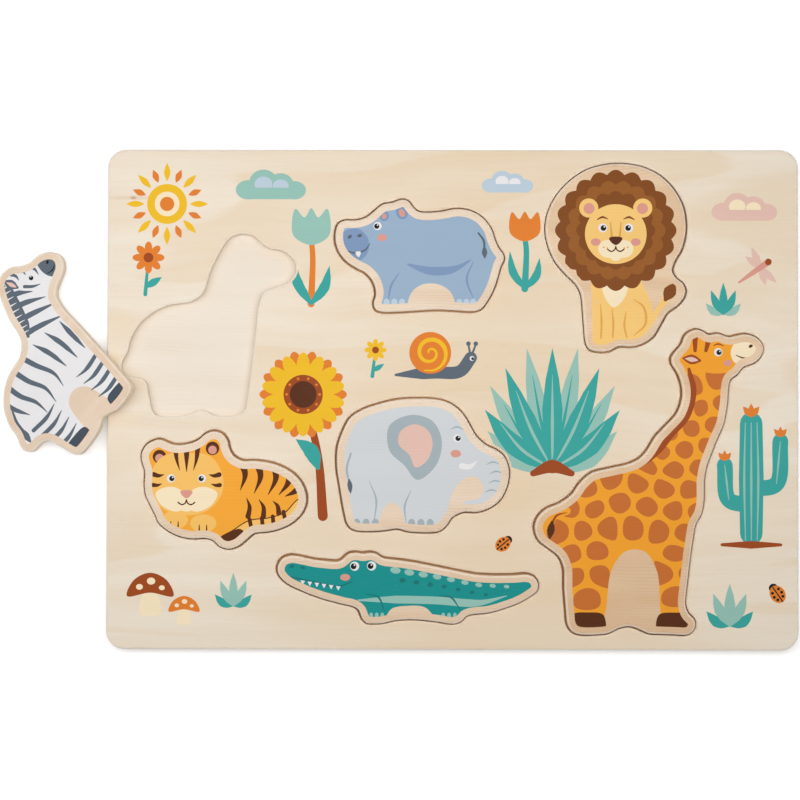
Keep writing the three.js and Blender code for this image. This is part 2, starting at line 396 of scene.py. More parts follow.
def inside(points: np.ndarray, loop: Loop) -> np.ndarray:
    """Tell which points a loop winds round anticlockwise.

    Args:
        points: the points to test.
        loop: the loop; where it doubles back on itself, the inverted part doesn't count.

    Returns:
        One truth value for each point.
    """
    x, y = points[:, :1], points[:, 1:]
    x0, y0 = loop.T
    x1, y1 = np.roll(loop, -1, axis=0).T
    side = (x1 - x0) * (y - y0) - (x - x0) * (y1 - y0)
    rises = (y0 <= y) & (y1 > y) & (side > 0)
    falls = (y0 > y) & (y1 <= y) & (side < 0)
    return rises.sum(axis=1) > falls.sum(axis=1)


def nearest_on(points: np.ndarray, loop: Loop) -> np.ndarray:
    """Return the point of the loop nearest to each of the points."""
    start = loop[None]
    along = np.roll(loop, -1, axis=0)[None] - start
    share = np.sum((points[:, None] - start) * along, axis=2) / np.sum(along * along, axis=2)
    feet = start + np.clip(share, 0, 1)[..., None] * along
    best = np.argmin(np.sum((points[:, None] - feet) ** 2, axis=2), axis=1)
    return feet[np.arange(len(points)), best]


def blob(*points: Point) -> Loop:
    """Return a smooth closed shape through the points."""
    return anticlockwise(smooth(list(points)))


def heading(angle: float) -> Point:
    """Return the unit step in a direction, given in degrees from +X."""
    return math.cos(math.radians(angle)), math.sin(math.radians(angle))


def oval(x: float, y: float, across: float, up: float = 0.0, turn: float = 0.0) -> Loop:
    """Draw an ellipse.

    Args:
        x: middle of the ellipse.
        y: middle of the ellipse.
        across: half its width.
        up: half its height; a circle where it is left out.
        turn: how far it is turned, in degrees.

    Returns:
        The closed loop.
    """
    up = up or across
    count = int(np.clip(6 * max(across, up), *OVAL_POINTS))
    angle = np.arange(count) * 2 * math.pi / count
    flat = np.stack([across * np.cos(angle), up * np.sin(angle)], axis=1)
    cos, sin = heading(turn)
    return flat @ np.array([[cos, sin], [-sin, cos]]) + (x, y)


def scallop(x: float, y: float, radius: float, lobes: int, depth: float) -> Loop:
    """Return a circle whose rim swells into lobes, depth being how deep the nicks between them are."""
    count = lobes * LOBE_POINTS
    angle = np.arange(count) * 2 * math.pi / count
    reach = radius - depth * (1 - np.abs(np.cos(angle * lobes / 2)))
    return np.stack([x + reach * np.cos(angle), y + reach * np.sin(angle)], axis=1)


def stroke(path: list[Point], widths: list[float]) -> Loop:
    """Draw a brush stroke with round ends.

    Args:
        path: points that the middle of the stroke passes through.
        widths: its width along the path, from start to end at even spacing.

    Returns:
        The closed outline of the stroke.
    """
    line = smooth(path, closed=False)
    run = np.concatenate([[0], np.cumsum(np.linalg.norm(np.diff(line, axis=0), axis=1))])
    half = np.interp(run / run[-1], np.linspace(0, 1, len(widths)), widths)[:, None] / 2
    along = np.gradient(line, axis=0)
    along /= np.linalg.norm(along, axis=1)[:, None]
    side = np.stack([-along[:, 1], along[:, 0]], axis=1)
    bend = np.linspace(0, math.pi, END_POINTS)[1:-1, None]
    end = line[-1] + half[-1] * (np.sin(bend) * along[-1] - np.cos(bend) * side[-1])
    start = line[0] + half[0] * (np.cos(bend) * side[0] - np.sin(bend) * along[0])
    return anticlockwise(np.vstack([line - side * half, end, (line + side * half)[::-1], start]))


def leaf(x: float, y: float, length: float, angle: float, width: float, bend: float = 0.0) -> Loop:
    """Draw a pointed leaf.

    Args:
        x: foot of the leaf.
        y: foot of the leaf.
        length: from foot to tip.
        angle: direction of the tip, in degrees from +X.
        width: at its widest, about the middle.
        bend: how far the middle is pushed to the left of the straight line.

    Returns:
        The closed outline of the leaf.
    """
    cos, sin = heading(angle)
    middle = (x + cos * length / 2 - sin * bend, y + sin * length / 2 + cos * bend)
    tip = (x + cos * length, y + sin * length)
    return stroke([(x, y), middle, tip], [width * 0.3, width * 0.85, width, width * 0.65, 0.3])


def mirrored(loop: Loop, x: float) -> Loop:
    """Return the loop mirrored about the upright line at x."""
    return anticlockwise(loop * (-1, 1) + (2 * x, 0))


def placed(shape: list[Point] | tuple[Point, ...], x: float, y: float, size: float) -> list[Point]:
    """Return the points of a shape drawn at unit size, enlarged and moved to its place."""
    return [(x + size * across, y + size * up) for across, up in shape]


def cells(centres: list[Point], gap: float, reach: float) -> list[Loop]:
    """Share a surface out into rounded cells, one round each centre.

    Args:
        centres: the middles of the cells.
        gap: width of the line left between neighbours.
        reach: half the width of a cell that has no neighbours.

    Returns:
        One closed loop for each centre.
    """
    places = np.asarray(centres, dtype=float)
    corners = np.array([(-1, -1), (1, -1), (1, 1), (-1, 1)]) * reach
    loops = []
    for own in places:
        cell = own + corners
        for other in places[np.linalg.norm(places - own, axis=1) > 0]:
            away = (other - own) / np.linalg.norm(other - own)
            past = (cell - (own + other) / 2) @ away + gap / 2
            kept = []
            for here, there, p, q in zip(past, np.roll(past, -1), cell, np.roll(cell, -1, axis=0)):
                if here <= 0:
                    kept.append(p)
                if here * there < 0:
                    kept.append(p + (q - p) * here / (here - there))
            cell = np.array(kept)
        for _ in range(CORNER_CUTS):
            ahead = np.roll(cell, -1, axis=0)
            cell = np.stack([0.75 * cell + 0.25 * ahead, 0.25 * cell + 0.75 * ahead], axis=1).reshape(-1, 2)
        loops.append(anticlockwise(cell))
    return loops


# Print


@dataclass(frozen=True)
class Mark:
    """One flat shape of a print.

    Attributes:
        loop: its outline.
        ink: its colour.
        within: the shape shows only inside this outline, where there is one.
    """

    loop: Loop
    ink: Ink
    within: Loop | None = None


@dataclass
class Sketch:
    """The print on one face: marks laid one over another, the last on top.

    Attributes:
        body: outline that new marks are kept to, if any.
        shift: from the sketch's own origin to the frame's.
        marks: what has been drawn, in the frame's millimetres.
    """

    body: Loop | None = None
    shift: Point = (0.0, 0.0)
    marks: list[Mark] = field(default_factory=list)

    def add(self, ink: Ink, *loops: Loop) -> None:
        """Lay shapes of one colour on top of what is there."""
        within = None if self.body is None else self.body + self.shift
        self.marks += [Mark(loop + self.shift, ink, within) for loop in loops]

    def line(self, ink: Ink, path: list[Point], widths: list[float]) -> None:
        """Lay a brush stroke on top."""
        self.add(ink, stroke(path, widths))

    def patch(self, ink: Ink, *points: Point) -> None:
        """Lay a smooth shape through the points on top."""
        self.add(ink, blob(*points))

    def spot(self, ink: Ink, *measures: float) -> None:
        """Lay an ellipse on top, with the measures that oval takes."""
        self.add(ink, oval(*measures))

    def blade(self, ink: Ink, *measures: float) -> None:
        """Lay a pointed leaf on top, with the measures that leaf takes."""
        self.add(ink, leaf(*measures))

    def pair(self, ink: Ink, x: float, *loops: Loop) -> None:
        """Lay shapes, and their mirror images about the upright line at x, on top."""
        self.add(ink, *loops, *(mirrored(loop, x) for loop in loops))

    def eye(self, x: float, y: float, size: float = 2.7, look: float = 0.5) -> None:
        """Draw a round eye.

        Args:
            x: middle of the eye.
            y: middle of the eye.
            size: radius of the white.
            look: how far the pupil is off the middle, along +X.
        """
        self.spot(Ink.WHITE, x, y, size)
        self.spot(Ink.BLACK, x + look, y - 0.1, size * 0.64)
        self.spot(Ink.WHITE, x + look + size * 0.2, y + size * 0.24, size * 0.18)

    def smile(self, x: float, y: float, half: float, ink: Ink) -> None:
        """Draw the two curves of a mouth that hang from the point under a nose."""
        path = [(x, y + 2.2), (x + half * 0.15, y), (x + half * 0.6, y - 0.9), (x + half, y + 0.6)]
        self.pair(ink, x, stroke(path, [0.9, 0.9]))


# Plates of plywood


@dataclass
class Plate:
    """A flat sheet with rounded edges, as a CAD node has it.

    Attributes:
        loops: its outlines in millimetres, with the wood on their left; the outer one comes first.
        bottom: height of its underside.
        top: height of its upper face.
        low_round: radius of its lower edges.
        high_round: radius of its upper edges.
        placement: from where its outlines are drawn to where it lies.
        edge_steps: facets round a quarter of an edge.
        print_margin: bare wood between a rounded edge and the print.
        wall_lean: a face whose normal rises by less is a wall.
        outline_step: spacing of the points of the finer outlines.
        straight: stretches of an outline longer than this stay straight.
        nearby: edges further than this from a mark's own box don't touch it.
        merge: corners of a face closer than this are one.
    """

    loops: list[Loop]
    bottom: float
    top: float
    low_round: float
    high_round: float
    placement: Matrix
    edge_steps: int = 6
    print_margin: float = 0.4
    wall_lean: float = 0.1
    outline_step: float = 0.9
    straight: float = 9.0
    nearby: float = 40.0
    merge: float = 1e-4

    @classmethod
    def read(cls, node: str, placement: Matrix | None = None) -> "Plate":
        """Measure a plate on its CAD node.

        Args:
            node: name of the node.
            placement: where the plate lies, if not in the plane of the board.

        Returns:
            The plate, with outlines finer than the node's.
        """
        placement = placement or Matrix()
        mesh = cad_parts[node].data
        to_flat = placement.inverted()
        turn = to_flat.to_3x3()
        points = [tuple(round(c / MM, 4) for c in to_flat @ vertex.co) for vertex in mesh.vertices]
        walls = [face for face in mesh.polygons if abs((turn @ face.normal).z) < cls.wall_lean]
        heights = [points[index][2] for face in walls for index in face.vertices]
        rim = max(heights) - SLACK
        following = {}
        for face in walls:
            for here, there in zip(face.vertices, [*face.vertices[1:], face.vertices[0]]):
                if points[here][2] > rim and points[there][2] > rim:
                    following[points[there][:2]] = points[here][:2]
        loops = []
        while following:
            first, after = following.popitem()
            loop = [first]
            while after != first:
                loop.append(after)
                after = following.pop(after)
            loops.append(smooth(np.array(loop), step=cls.outline_step, straight=cls.straight))
        loops.sort(key=lambda each: -np.prod(np.ptp(each, axis=0)))
        low, high = min(p[2] for p in points), max(p[2] for p in points)
        return cls(loops, low, high, min(heights) - low, high - max(heights), placement)

    def profile(self) -> list[tuple[float, float]]:
        """Return the edge from the underside to the upper face, as insets and heights."""
        angles = [math.pi / 2 * step / self.edge_steps for step in range(self.edge_steps + 1)]
        low, high = self.low_round, self.high_round
        lower = [(low * (1 - math.sin(a)), self.bottom + low * (1 - math.cos(a))) for a in angles]
        upper = [(high * (1 - math.cos(a)), self.top - high * (1 - math.sin(a))) for a in angles]
        return (lower if low > SLACK else lower[-1:]) + (upper if high > SLACK else upper[:1])

    def kept_on(self, loop: Loop) -> Loop:
        """Pull a mark's outline back from the rounded edges.

        Args:
            loop: the outline, which may reach past the plate.

        Returns:
            The outline with the points that reached too far laid along the edge.
        """
        loop = loop.copy()
        for index, edge in enumerate(self.loops):
            limit = moved(edge, self.high_round + self.print_margin)
            reach = np.ptp(loop, axis=0) + self.nearby
            near = np.all(np.abs(limit - loop.mean(axis=0)) < reach, axis=1)
            if index and not near.any():
                continue
            past = inside(loop, limit[::-1]) if index else ~inside(loop, limit)
            if past.any():
                loop[past] = nearest_on(loop[past], limit)
        return loop

    def face(self, rings: list[Loop], marks: list[Mark]) -> tuple[np.ndarray, np.ndarray, list[Ink]]:
        """Fill a flat face with triangles that follow the print.

        Args:
            rings: the face's outlines.
            marks: the print on it.

        Returns:
            The corners, those of the rings first, the triangles, and the ink of each triangle.
        """
        lines = rings + [self.kept_on(mark.loop) for mark in marks] + unique_outlines(marks)
        edges, start = [], 0
        for line in lines:
            count = len(line)
            edges += [(start + i, start + (i + 1) % count) for i in range(count)]
            start += count
        corners = [Vector(point) for point in np.vstack(lines)]
        found, _, triangles, sources, _, _ = delaunay_2d_cdt(corners, edges, [], 0, self.merge)
        on_rings = sum(len(ring) for ring in rings)
        order = {source: new for new, old in enumerate(sources) for source in old if source < on_rings}
        extra = [new for new, old in enumerate(sources) if not old or min(old) >= on_rings]
        place = {old: new for new, old in enumerate([order[i] for i in range(on_rings)] + extra)}
        points = np.array([found[old] for old in place])
        shape = np.array([[place[corner] for corner in triangle] for triangle in triangles])
        middles = points[shape].mean(axis=1)
        wanted = inside(middles, rings[0])
        for hole in rings[1:]:
            wanted &= ~inside(middles, hole[::-1])
        shape, middles = shape[wanted], middles[wanted]
        inks = np.full(len(shape), Ink.BARE, dtype=object)
        for mark in marks:
            covered = inside(middles, mark.loop)
            if mark.within is not None:
                covered[covered] = inside(middles[covered], mark.within)
            inks[covered] = mark.ink
        return points, shape, list(inks)

    def build(self, name: str, wood: Wood, marks: list[Mark], workshop: "Workshop") -> bpy.types.Object:
        """Make the plate's mesh and give each face its wood or ink.

        Args:
            name: name of the piece.
            wood: its cut of plywood.
            marks: what lies on the upper face: print, and on the base panel the painted warm tint of the gap
                shade.
            workshop: where the materials come from.

        Returns:
            The new object, lying where the node lies.
        """
        profile = self.profile()
        corners, faces, colours, starts = [], [], [], []
        for loop in self.loops:
            starts.append(len(corners))
            count = len(loop)
            for inset, height in profile:
                corners += [(x, y, height) for x, y in moved(loop, inset)]
            for ring in range(len(profile) - 1):
                here = starts[-1] + ring * count
                for i in range(count):
                    j = (i + 1) % count
                    faces.append((here + i, here + j, here + count + j, here + count + i))
                    colours.append(SAWN if upright(profile, ring) else Ink.BARE)
        flat = [False] * len(faces)

        for ring, (inset, height) in ((0, profile[0]), (len(profile) - 1, profile[-1])):
            upper = ring > 0
            rings = [moved(loop, inset) for loop in self.loops]
            points, triangles, shades = self.face(rings, marks if upper else [])
            known = []
            for start, loop in zip(starts, self.loops):
                known += range(start + ring * len(loop), start + (ring + 1) * len(loop))
            known += range(len(corners), len(corners) + len(points) - len(known))
            corners += [(x, y, height) for x, y in points[sum(map(len, rings)):]]
            turned = triangles if upper else triangles[:, ::-1]
            faces += [tuple(known[corner] for corner in triangle) for triangle in turned]
            colours += shades
            flat += [True] * len(triangles)

        mesh = bpy.data.meshes.new(name)
        mesh.from_pydata([Vector(corner) * MM for corner in corners], [], faces)
        printed = set(colours)
        used = [ink for ink in Ink if ink is not Ink.BARE and ink in printed]
        for material in (workshop.wood(wood), workshop.sawn(wood), *map(workshop.ink, used)):
            mesh.materials.append(material)
        slots = {surface: index for index, surface in enumerate((Ink.BARE, SAWN, *used))}
        mesh.polygons.foreach_set("material_index", [slots[colour] for colour in colours])
        mesh.polygons.foreach_set("use_smooth", [not each for each in flat])
        mesh.validate()
        places = mesh.attributes.new(GRAIN_PLACE, "FLOAT_VECTOR", "POINT")
        places.data.foreach_set("vector", np.ravel(np.array(corners) - (0, 0, self.bottom)) * MM)
        mesh.transform(self.placement)
        piece = bpy.data.objects.new(name, mesh)
        bpy.context.scene.collection.objects.link(piece)
        return piece


def upright(profile: list[tuple[float, float]], step: int) -> bool:
    """Tell whether a step of an edge's profile is its sawn wall."""
    return math.isclose(profile[step][0], profile[step + 1][0], abs_tol=1e-6)


def unique_outlines(marks: list[Mark]) -> list[Loop]:
    """Return the outlines that marks are kept within, each once."""
    return list({id(mark.within): mark.within for mark in marks if mark.within is not None}.values())


# Shader effects and materials


class Graph:
    """A node tree being wired."""

    def __init__(self, tree: bpy.types.NodeTree) -> None:
        """Keep the tree that nodes are added to."""
        self.tree = tree

    def add(self, kind: str, inputs: dict[str | int, object] | None = None,
            **settings: object) -> bpy.types.Node:
        """Add a node.

        Args:
            kind: the node's type.
            inputs: sockets to link from, or values to set, by socket name or number.
            settings: the node's own properties.

        Returns:
            The new node.
        """
        node = self.tree.nodes.new(kind)
        for name, value in settings.items():
            setattr(node, name, value)
        for name, value in (inputs or {}).items():
            if isinstance(value, Socket):
                self.tree.links.new(value, node.inputs[name])
            else:
                node.inputs[name].default_value = value
        return node

    def feed(self, node: bpy.types.Node, *values: Socket) -> None:
        """Link values to the first inputs of a node, in order."""
        for value, socket in zip(values, node.inputs):
            self.tree.links.new(value, socket)

    def maths(self, operation: str, first: object, second: object = 0.0) -> Socket:
        """Return the result of a sum on one or two values."""
        return self.add("ShaderNodeMath", {0: first, 1: second}, operation=operation).outputs[0]

    def vectors(self, operation: str, first: object, second: object) -> Socket:
        """Return the result of a sum on two vectors, part by part."""
        return self.add("ShaderNodeVectorMath", {0: first, 1: second}, operation=operation).outputs[0]

    def scaled(self, vector: object, by: object) -> Socket:
        """Return a vector multiplied part by part."""
        return self.vectors("MULTIPLY", vector, by)

    def length(self, vector: Socket) -> Socket:
        """Return the length of a vector."""
        return self.add("ShaderNodeVectorMath", {0: vector}, operation="LENGTH").outputs["Value"]

    def part(self, vector: Socket, axis: str) -> Socket:
        """Return one part of a vector."""
        return self.add("ShaderNodeSeparateXYZ", {0: vector}).outputs[axis]

    def noise(self, vector: Socket, detail: float = 2.0, roughness: float = 0.5, bend: float = 0.0) -> Socket:
        """Return smooth noise, from nought to one, over a vector that already has its scale."""
        inputs = {"Vector": vector, "Scale": 1.0, "Detail": detail, "Roughness": roughness,
                  "Distortion": bend}
        return self.add("ShaderNodeTexNoise", inputs).outputs[0]

    def ramp(self, value: Socket, low: float, high: float) -> Socket:
        """Return a value eased from nought at low to one at high."""
        inputs = {"Value": value, "From Min": low, "From Max": high}
        return self.add("ShaderNodeMapRange", inputs, interpolation_type="SMOOTHSTEP").outputs[0]

    def between(self, share: Socket, low: float, high: float) -> Socket:
        """Return low where the share is nought and high where it is one."""
        result = self.maths("MULTIPLY_ADD", share, high - low)
        result.node.inputs[2].default_value = low
        return result

    def mix(self, share: object, first: object, second: object) -> Socket:
        """Return two colours mixed."""
        inputs = {0: share, 6: first, 7: second}
        return self.add("ShaderNodeMix", inputs, data_type="RGBA").outputs[2]


class Effects:
    """The node groups that every material of the puzzle shares."""

    def __init__(self) -> None:
        """Build each group once."""
        self.grain = self._grain()
        self.plies = self._plies()
        self.rim = self._edge_wear_and_highlight()
        self.knot = self._knot()
        self.handling = self._handling()

    @staticmethod
    def _group(name: str, inputs: dict[str, str],
               outputs: list[str]) -> tuple[Graph, bpy.types.Node, bpy.types.Node]:
        """Start a node group.

        Args:
            name: name of the group.
            inputs: its input sockets and their kinds.
            outputs: its output sockets, all plain values.

        Returns:
            The graph, the node that brings the inputs, and the node that takes the outputs.
        """
        tree = bpy.data.node_groups.new(name, "ShaderNodeTree")
        for socket, kind in inputs.items():
            tree.interface.new_socket(name=socket, in_out="INPUT", socket_type=f"NodeSocket{kind}")
        for socket in outputs:
            tree.interface.new_socket(name=socket, in_out="OUTPUT", socket_type="NodeSocketFloat")
        graph = Graph(tree)
        return graph, graph.add("NodeGroupInput"), graph.add("NodeGroupOutput")

    def _grain(self) -> bpy.types.NodeTree:
        """Return a veneer's grain: broad tone, flames, figure, growth lines, streaks, fibres and pores."""
        kinds = {"Place": "Vector", "Seed": "Float", "Line Gap": "Float",
                 "Heart": "Float", "Dark Zone Place": "Vector", "Dark Zone Reach": "Vector"}
        marks = ["Tone", "Flame", "Figure", "Line", "Streak", "Fibre", "Pore"]
        graph, given, result = self._group("veneer_grain", kinds, marks)
        off = graph.vectors("SUBTRACT", given.outputs["Place"], given.outputs["Dark Zone Place"])
        away = graph.length(graph.vectors("DIVIDE", off, given.outputs["Dark Zone Reach"]))
        heart = graph.maths("MULTIPLY", graph.maths("SUBTRACT", 1.0, away), given.outputs["Heart"])
        shift = graph.scaled(GRAIN.seed_step, given.outputs["Seed"])
        place = graph.vectors("ADD", given.outputs["Place"], shift)
        sway = graph.noise(graph.scaled(place, GRAIN.sway), detail=1.0)
        place = graph.vectors("ADD", place, graph.scaled(GRAIN.sway_reach, sway))
        cloud = graph.maths("SUBTRACT", graph.noise(graph.scaled(place, GRAIN.cloud), detail=2.0), 0.5)
        zone = graph.maths("ADD", heart, graph.maths("MULTIPLY", cloud, 0.5))
        figure = graph.noise(graph.scaled(place, GRAIN.figure), detail=5.0, roughness=0.5, bend=0.2)
        swell = graph.noise(graph.scaled(place, GRAIN.swell), detail=2.0, roughness=0.5, bend=0.6)
        swell = graph.maths("ADD", graph.maths("MULTIPLY", swell, 4.0), graph.maths("MULTIPLY", figure, 0.3))
        ring = graph.maths("FRACT", swell)
        flame = graph.maths("MULTIPLY", graph.ramp(ring, 0.1, 0.85), graph.ramp(ring, 1.0, 0.9))
        drift = graph.maths("MULTIPLY", graph.noise(graph.scaled(place, GRAIN.drift), detail=3.0), 30.0)
        count = graph.maths("DIVIDE", graph.part(place, "Y"), given.outputs["Line Gap"])
        wave = graph.maths("SINE", graph.maths("ADD", graph.maths("MULTIPLY", count, 2 * math.pi), drift))
        faint = graph.noise(graph.scaled(place, GRAIN.faint), detail=2.0)
        line = graph.maths("MULTIPLY", graph.ramp(wave, 0.1, 1.0), graph.ramp(faint, 0.35, 0.65))
        streak = graph.noise(graph.scaled(place, GRAIN.streak), detail=3.0, roughness=0.6)
        fibre = graph.noise(graph.scaled(place, GRAIN.fibre), detail=2.0)
        pore = graph.noise(graph.scaled(place, GRAIN.pore), detail=1.0)
        graph.feed(result, graph.ramp(zone, 0.0, 1.0), flame, graph.ramp(figure, 0.3, 0.72), line,
                   graph.ramp(streak, 0.66, 0.8), fibre, graph.ramp(pore, 0.66, 0.76))
        return graph.tree

    def _plies(self) -> bpy.types.NodeTree:
        """Return the layers seen on a sawn wall: cross plies, the glue between plies, and saw marks."""
        kinds = {"Place": "Vector", "Ply": "Float", "Glue": "Float"}
        graph, given, result = self._group("ply_edge", kinds, ["Cross", "Glue", "Saw"])
        place = given.outputs["Place"]
        layer = graph.maths("DIVIDE", graph.part(place, "Z"), given.outputs["Ply"])
        alternate = graph.maths("PINGPONG", graph.maths("ADD", layer, -0.5), 1.0)
        cross = graph.maths("GREATER_THAN", alternate, 0.5)
        glued = graph.maths("LESS_THAN", graph.maths("PINGPONG", layer, 0.5), given.outputs["Glue"])
        saw = graph.noise(graph.scaled(place, GRAIN.saw), detail=2.0)
        graph.feed(result, cross, glued, saw)
        return graph.tree

    def _edge_wear_and_highlight(self) -> bpy.types.NodeTree:
        """Return where a plate's edges are rounded, broken up a little as sanding leaves them; this mask
        carries both the sanded wear and the painted highlight of the edges.
        """
        graph, given, result = self._group("edge_wear_and_highlight", {"Place": "Vector"}, ["Wear"])
        normal = graph.add("ShaderNodeNewGeometry").outputs["Normal"]
        upright_part = graph.maths("ABSOLUTE", graph.part(normal, "Z"))
        patchy = graph.noise(graph.scaled(given.outputs["Place"], GRAIN.patch), detail=3.0)
        wear = graph.maths("MULTIPLY", graph.ramp(upright_part, 0.992, 0.86), graph.ramp(patchy, 0.1, 0.5))
        graph.feed(result, wear)
        return graph.tree

    def _knot(self) -> bpy.types.NodeTree:
        """Return a pin knot: its dark core and the stain that it leaves along the grain."""
        shapes = {"Core": ((0.55, 1.0, 0.0), 0.0016), "Stain": ((0.075, 1.0, 0.0), 0.0021)}
        kinds = {"Place": "Vector", "Knot": "Vector"}
        graph, given, result = self._group("pin_knot", kinds, list(shapes))
        off = graph.vectors("SUBTRACT", given.outputs["Place"], given.outputs["Knot"])
        for name, (stretch, reach) in shapes.items():
            away = graph.length(graph.scaled(off, stretch))
            graph.tree.links.new(graph.ramp(away, reach, reach * 0.2), result.inputs[name])
        return graph.tree

    def _handling(self) -> bpy.types.NodeTree:
        """Return soft smudges left by hands."""
        graph, given, result = self._group("handling_marks", {"Place": "Vector", "Size": "Float"}, ["Smudge"])
        each = graph.maths("DIVIDE", 1.0, given.outputs["Size"])
        cloud = graph.noise(graph.scaled(given.outputs["Place"], each), detail=4.0, roughness=0.6, bend=0.4)
        graph.feed(result, graph.ramp(cloud, 0.35, 0.7))
        return graph.tree


class Workshop:
    """Makes the materials of the puzzle, each once.

    Attributes:
        smudge_size: size of the marks that hands leave, in metres.
        relief_strength: how strongly the raised grain catches the light.
    """

    smudge_size: float = 35 * MM
    relief_strength: float = 0.35

    def __init__(self) -> None:
        """Build the shared effects."""
        self.effects = Effects()

    def _start(self, name: str) -> tuple[bpy.types.Material, Graph, bpy.types.Node, Socket]:
        """Return a new material with its graph, its shader and the place on the piece."""
        material = bpy.data.materials.new(name)
        material.use_nodes = True
        graph = Graph(material.node_tree)
        shader = material.node_tree.nodes["Principled BSDF"]
        place = graph.add("ShaderNodeAttribute", attribute_name=GRAIN_PLACE).outputs["Vector"]
        return material, graph, shader, place

    def _effect(self, graph: Graph, tree: bpy.types.NodeTree, **values: object) -> dict[str, Socket]:
        """Place a shared effect in a material and return its outputs by name."""
        node = graph.add("ShaderNodeGroup", values, node_tree=tree)
        return {socket.name: socket for socket in node.outputs}

    def _relief(self, graph: Graph, shader: bpy.types.Node, grain: dict[str, Socket], depth: float,
                smooth_part: object = 0.0) -> None:
        """Raise the grain a little.

        Args:
            graph: the material's graph.
            shader: its shader.
            grain: outputs of the grain effect.
            depth: height of the fibres in millimetres.
            smooth_part: one where the surface is sanded smooth.
        """
        height = graph.maths("SUBTRACT", grain["Fibre"], grain["Pore"])
        height = graph.maths("MULTIPLY", height, graph.maths("SUBTRACT", 1.0, smooth_part))
        inputs = {"Strength": self.relief_strength, "Distance": depth * MM, "Height": height}
        bump = graph.add("ShaderNodeBump", inputs)
        graph.tree.links.new(bump.outputs[0], shader.inputs["Normal"])

    def _grain(self, graph: Graph, place: Socket, finish: WoodFinish) -> dict[str, Socket]:
        """Place the grain of one cut of plywood in a material."""
        values = {"Place": place, "Seed": finish.seed, "Line Gap": finish.line_gap * MM,
                  "Heart": finish.heart, "Dark Zone Place": [part * MM for part in finish.dark_zone_place],
                  "Dark Zone Reach": [part * MM for part in finish.dark_zone_reach]}
        return self._effect(graph, self.effects.grain, **values)

    def _rough(self, graph: Graph, shader: bpy.types.Node, mean: float, *parts: tuple[Socket, float]) -> None:
        """Vary a material's roughness.

        Args:
            graph: the material's graph.
            shader: its shader.
            mean: roughness where every part is nought.
            parts: masks, and what each adds where it is one.
        """
        total = mean
        for mask, amount in parts:
            total = graph.maths("ADD", graph.maths("MULTIPLY", mask, amount), total)
        graph.tree.links.new(total, shader.inputs["Roughness"])

    @staticmethod
    def _layered(graph: Graph, colour: object, *layers: tuple[Socket, float, int]) -> Socket:
        """Lay colours over one another.

        Args:
            graph: the material's graph.
            colour: the colour underneath.
            layers: masks, the strength of each, and the sRGB colour that it brings.

        Returns:
            The colour on top.
        """
        for mask, strength, tint in layers:
            colour = graph.mix(graph.maths("MULTIPLY", mask, strength), colour, linear(tint))
        return colour

    @cache
    def wood(self, kind: Wood) -> bpy.types.Material:
        """Return the material of the lacquered faces and rounded edges of one cut of plywood."""
        finish = WOODS[kind]
        material, graph, shader, place = self._start(kind.value)
        grain = self._grain(graph, place, finish)
        rim = self._effect(graph, self.effects.rim, Place=place)
        hands = self._effect(graph, self.effects.handling, Place=place, Size=self.smudge_size)
        share = graph.maths("MULTIPLY", graph.maths("SUBTRACT", grain["Fibre"], 0.5), finish.fibres)
        share = graph.maths("ADD", share, graph.maths("MULTIPLY", grain["Figure"], finish.contrast))
        colour = graph.mix(share, linear(finish.light), linear(finish.dark))
        layers = [(grain["Tone"], finish.tones, finish.tone), (grain["Flame"], finish.flame, finish.tone)]
        marks = [(grain["Line"], finish.lines), (grain["Streak"], finish.streaks),
                 (grain["Pore"], finish.pores)]
        if finish.knot_strength:
            middle = [part * MM for part in finish.knot]
            knot = self._effect(graph, self.effects.knot, Place=place, Knot=middle)
            marks.append((knot["Stain"], finish.knot_strength * finish.stain))
            marks.append((knot["Core"], finish.knot_strength))
        layers += [(mask, strength, finish.streak) for mask, strength in marks]
        # Painted highlight: the rounded edges turn paler, for the light that they catch as well as for the
        # sanding
        layers.append((rim["Wear"], finish.wear, finish.edge))
        graph.tree.links.new(self._layered(graph, colour, *layers), shader.inputs["Base Color"])
        changes = (hands["Smudge"], -finish.polish), (rim["Wear"], finish.edge_roughness)
        self._rough(graph, shader, finish.roughness, *changes)
        shader.inputs["Specular IOR Level"].default_value = finish.gloss
        self._relief(graph, shader, grain, finish.relief, rim["Wear"])
        return material

    @cache
    def sawn(self, kind: Wood) -> bpy.types.Material:
        """Return the material of the bare sawn walls of one cut of plywood, with its layers."""
        finish = WOODS[kind]
        material, graph, shader, place = self._start(f"{kind.value}_sawn")
        grain = self._grain(graph, place, finish)
        inputs = {"Place": place, "Ply": finish.ply * MM, "Glue": WALL.glue_width}
        plies = self._effect(graph, self.effects.plies, **inputs)
        layers = ((plies["Saw"], WALL.saw, finish.streak), (plies["Cross"], WALL.cross, finish.cross),
                  (plies["Glue"], WALL.glue, Ink.DARK_BROWN.value))
        colour = self._layered(graph, linear(finish.sawn), *layers)
        graph.tree.links.new(colour, shader.inputs["Base Color"])
        self._rough(graph, shader, WALL.roughness, (plies["Saw"], WALL.saw_roughness))
        shader.inputs["Specular IOR Level"].default_value = WALL.gloss
        self._relief(graph, shader, grain, WALL.relief)
        return material

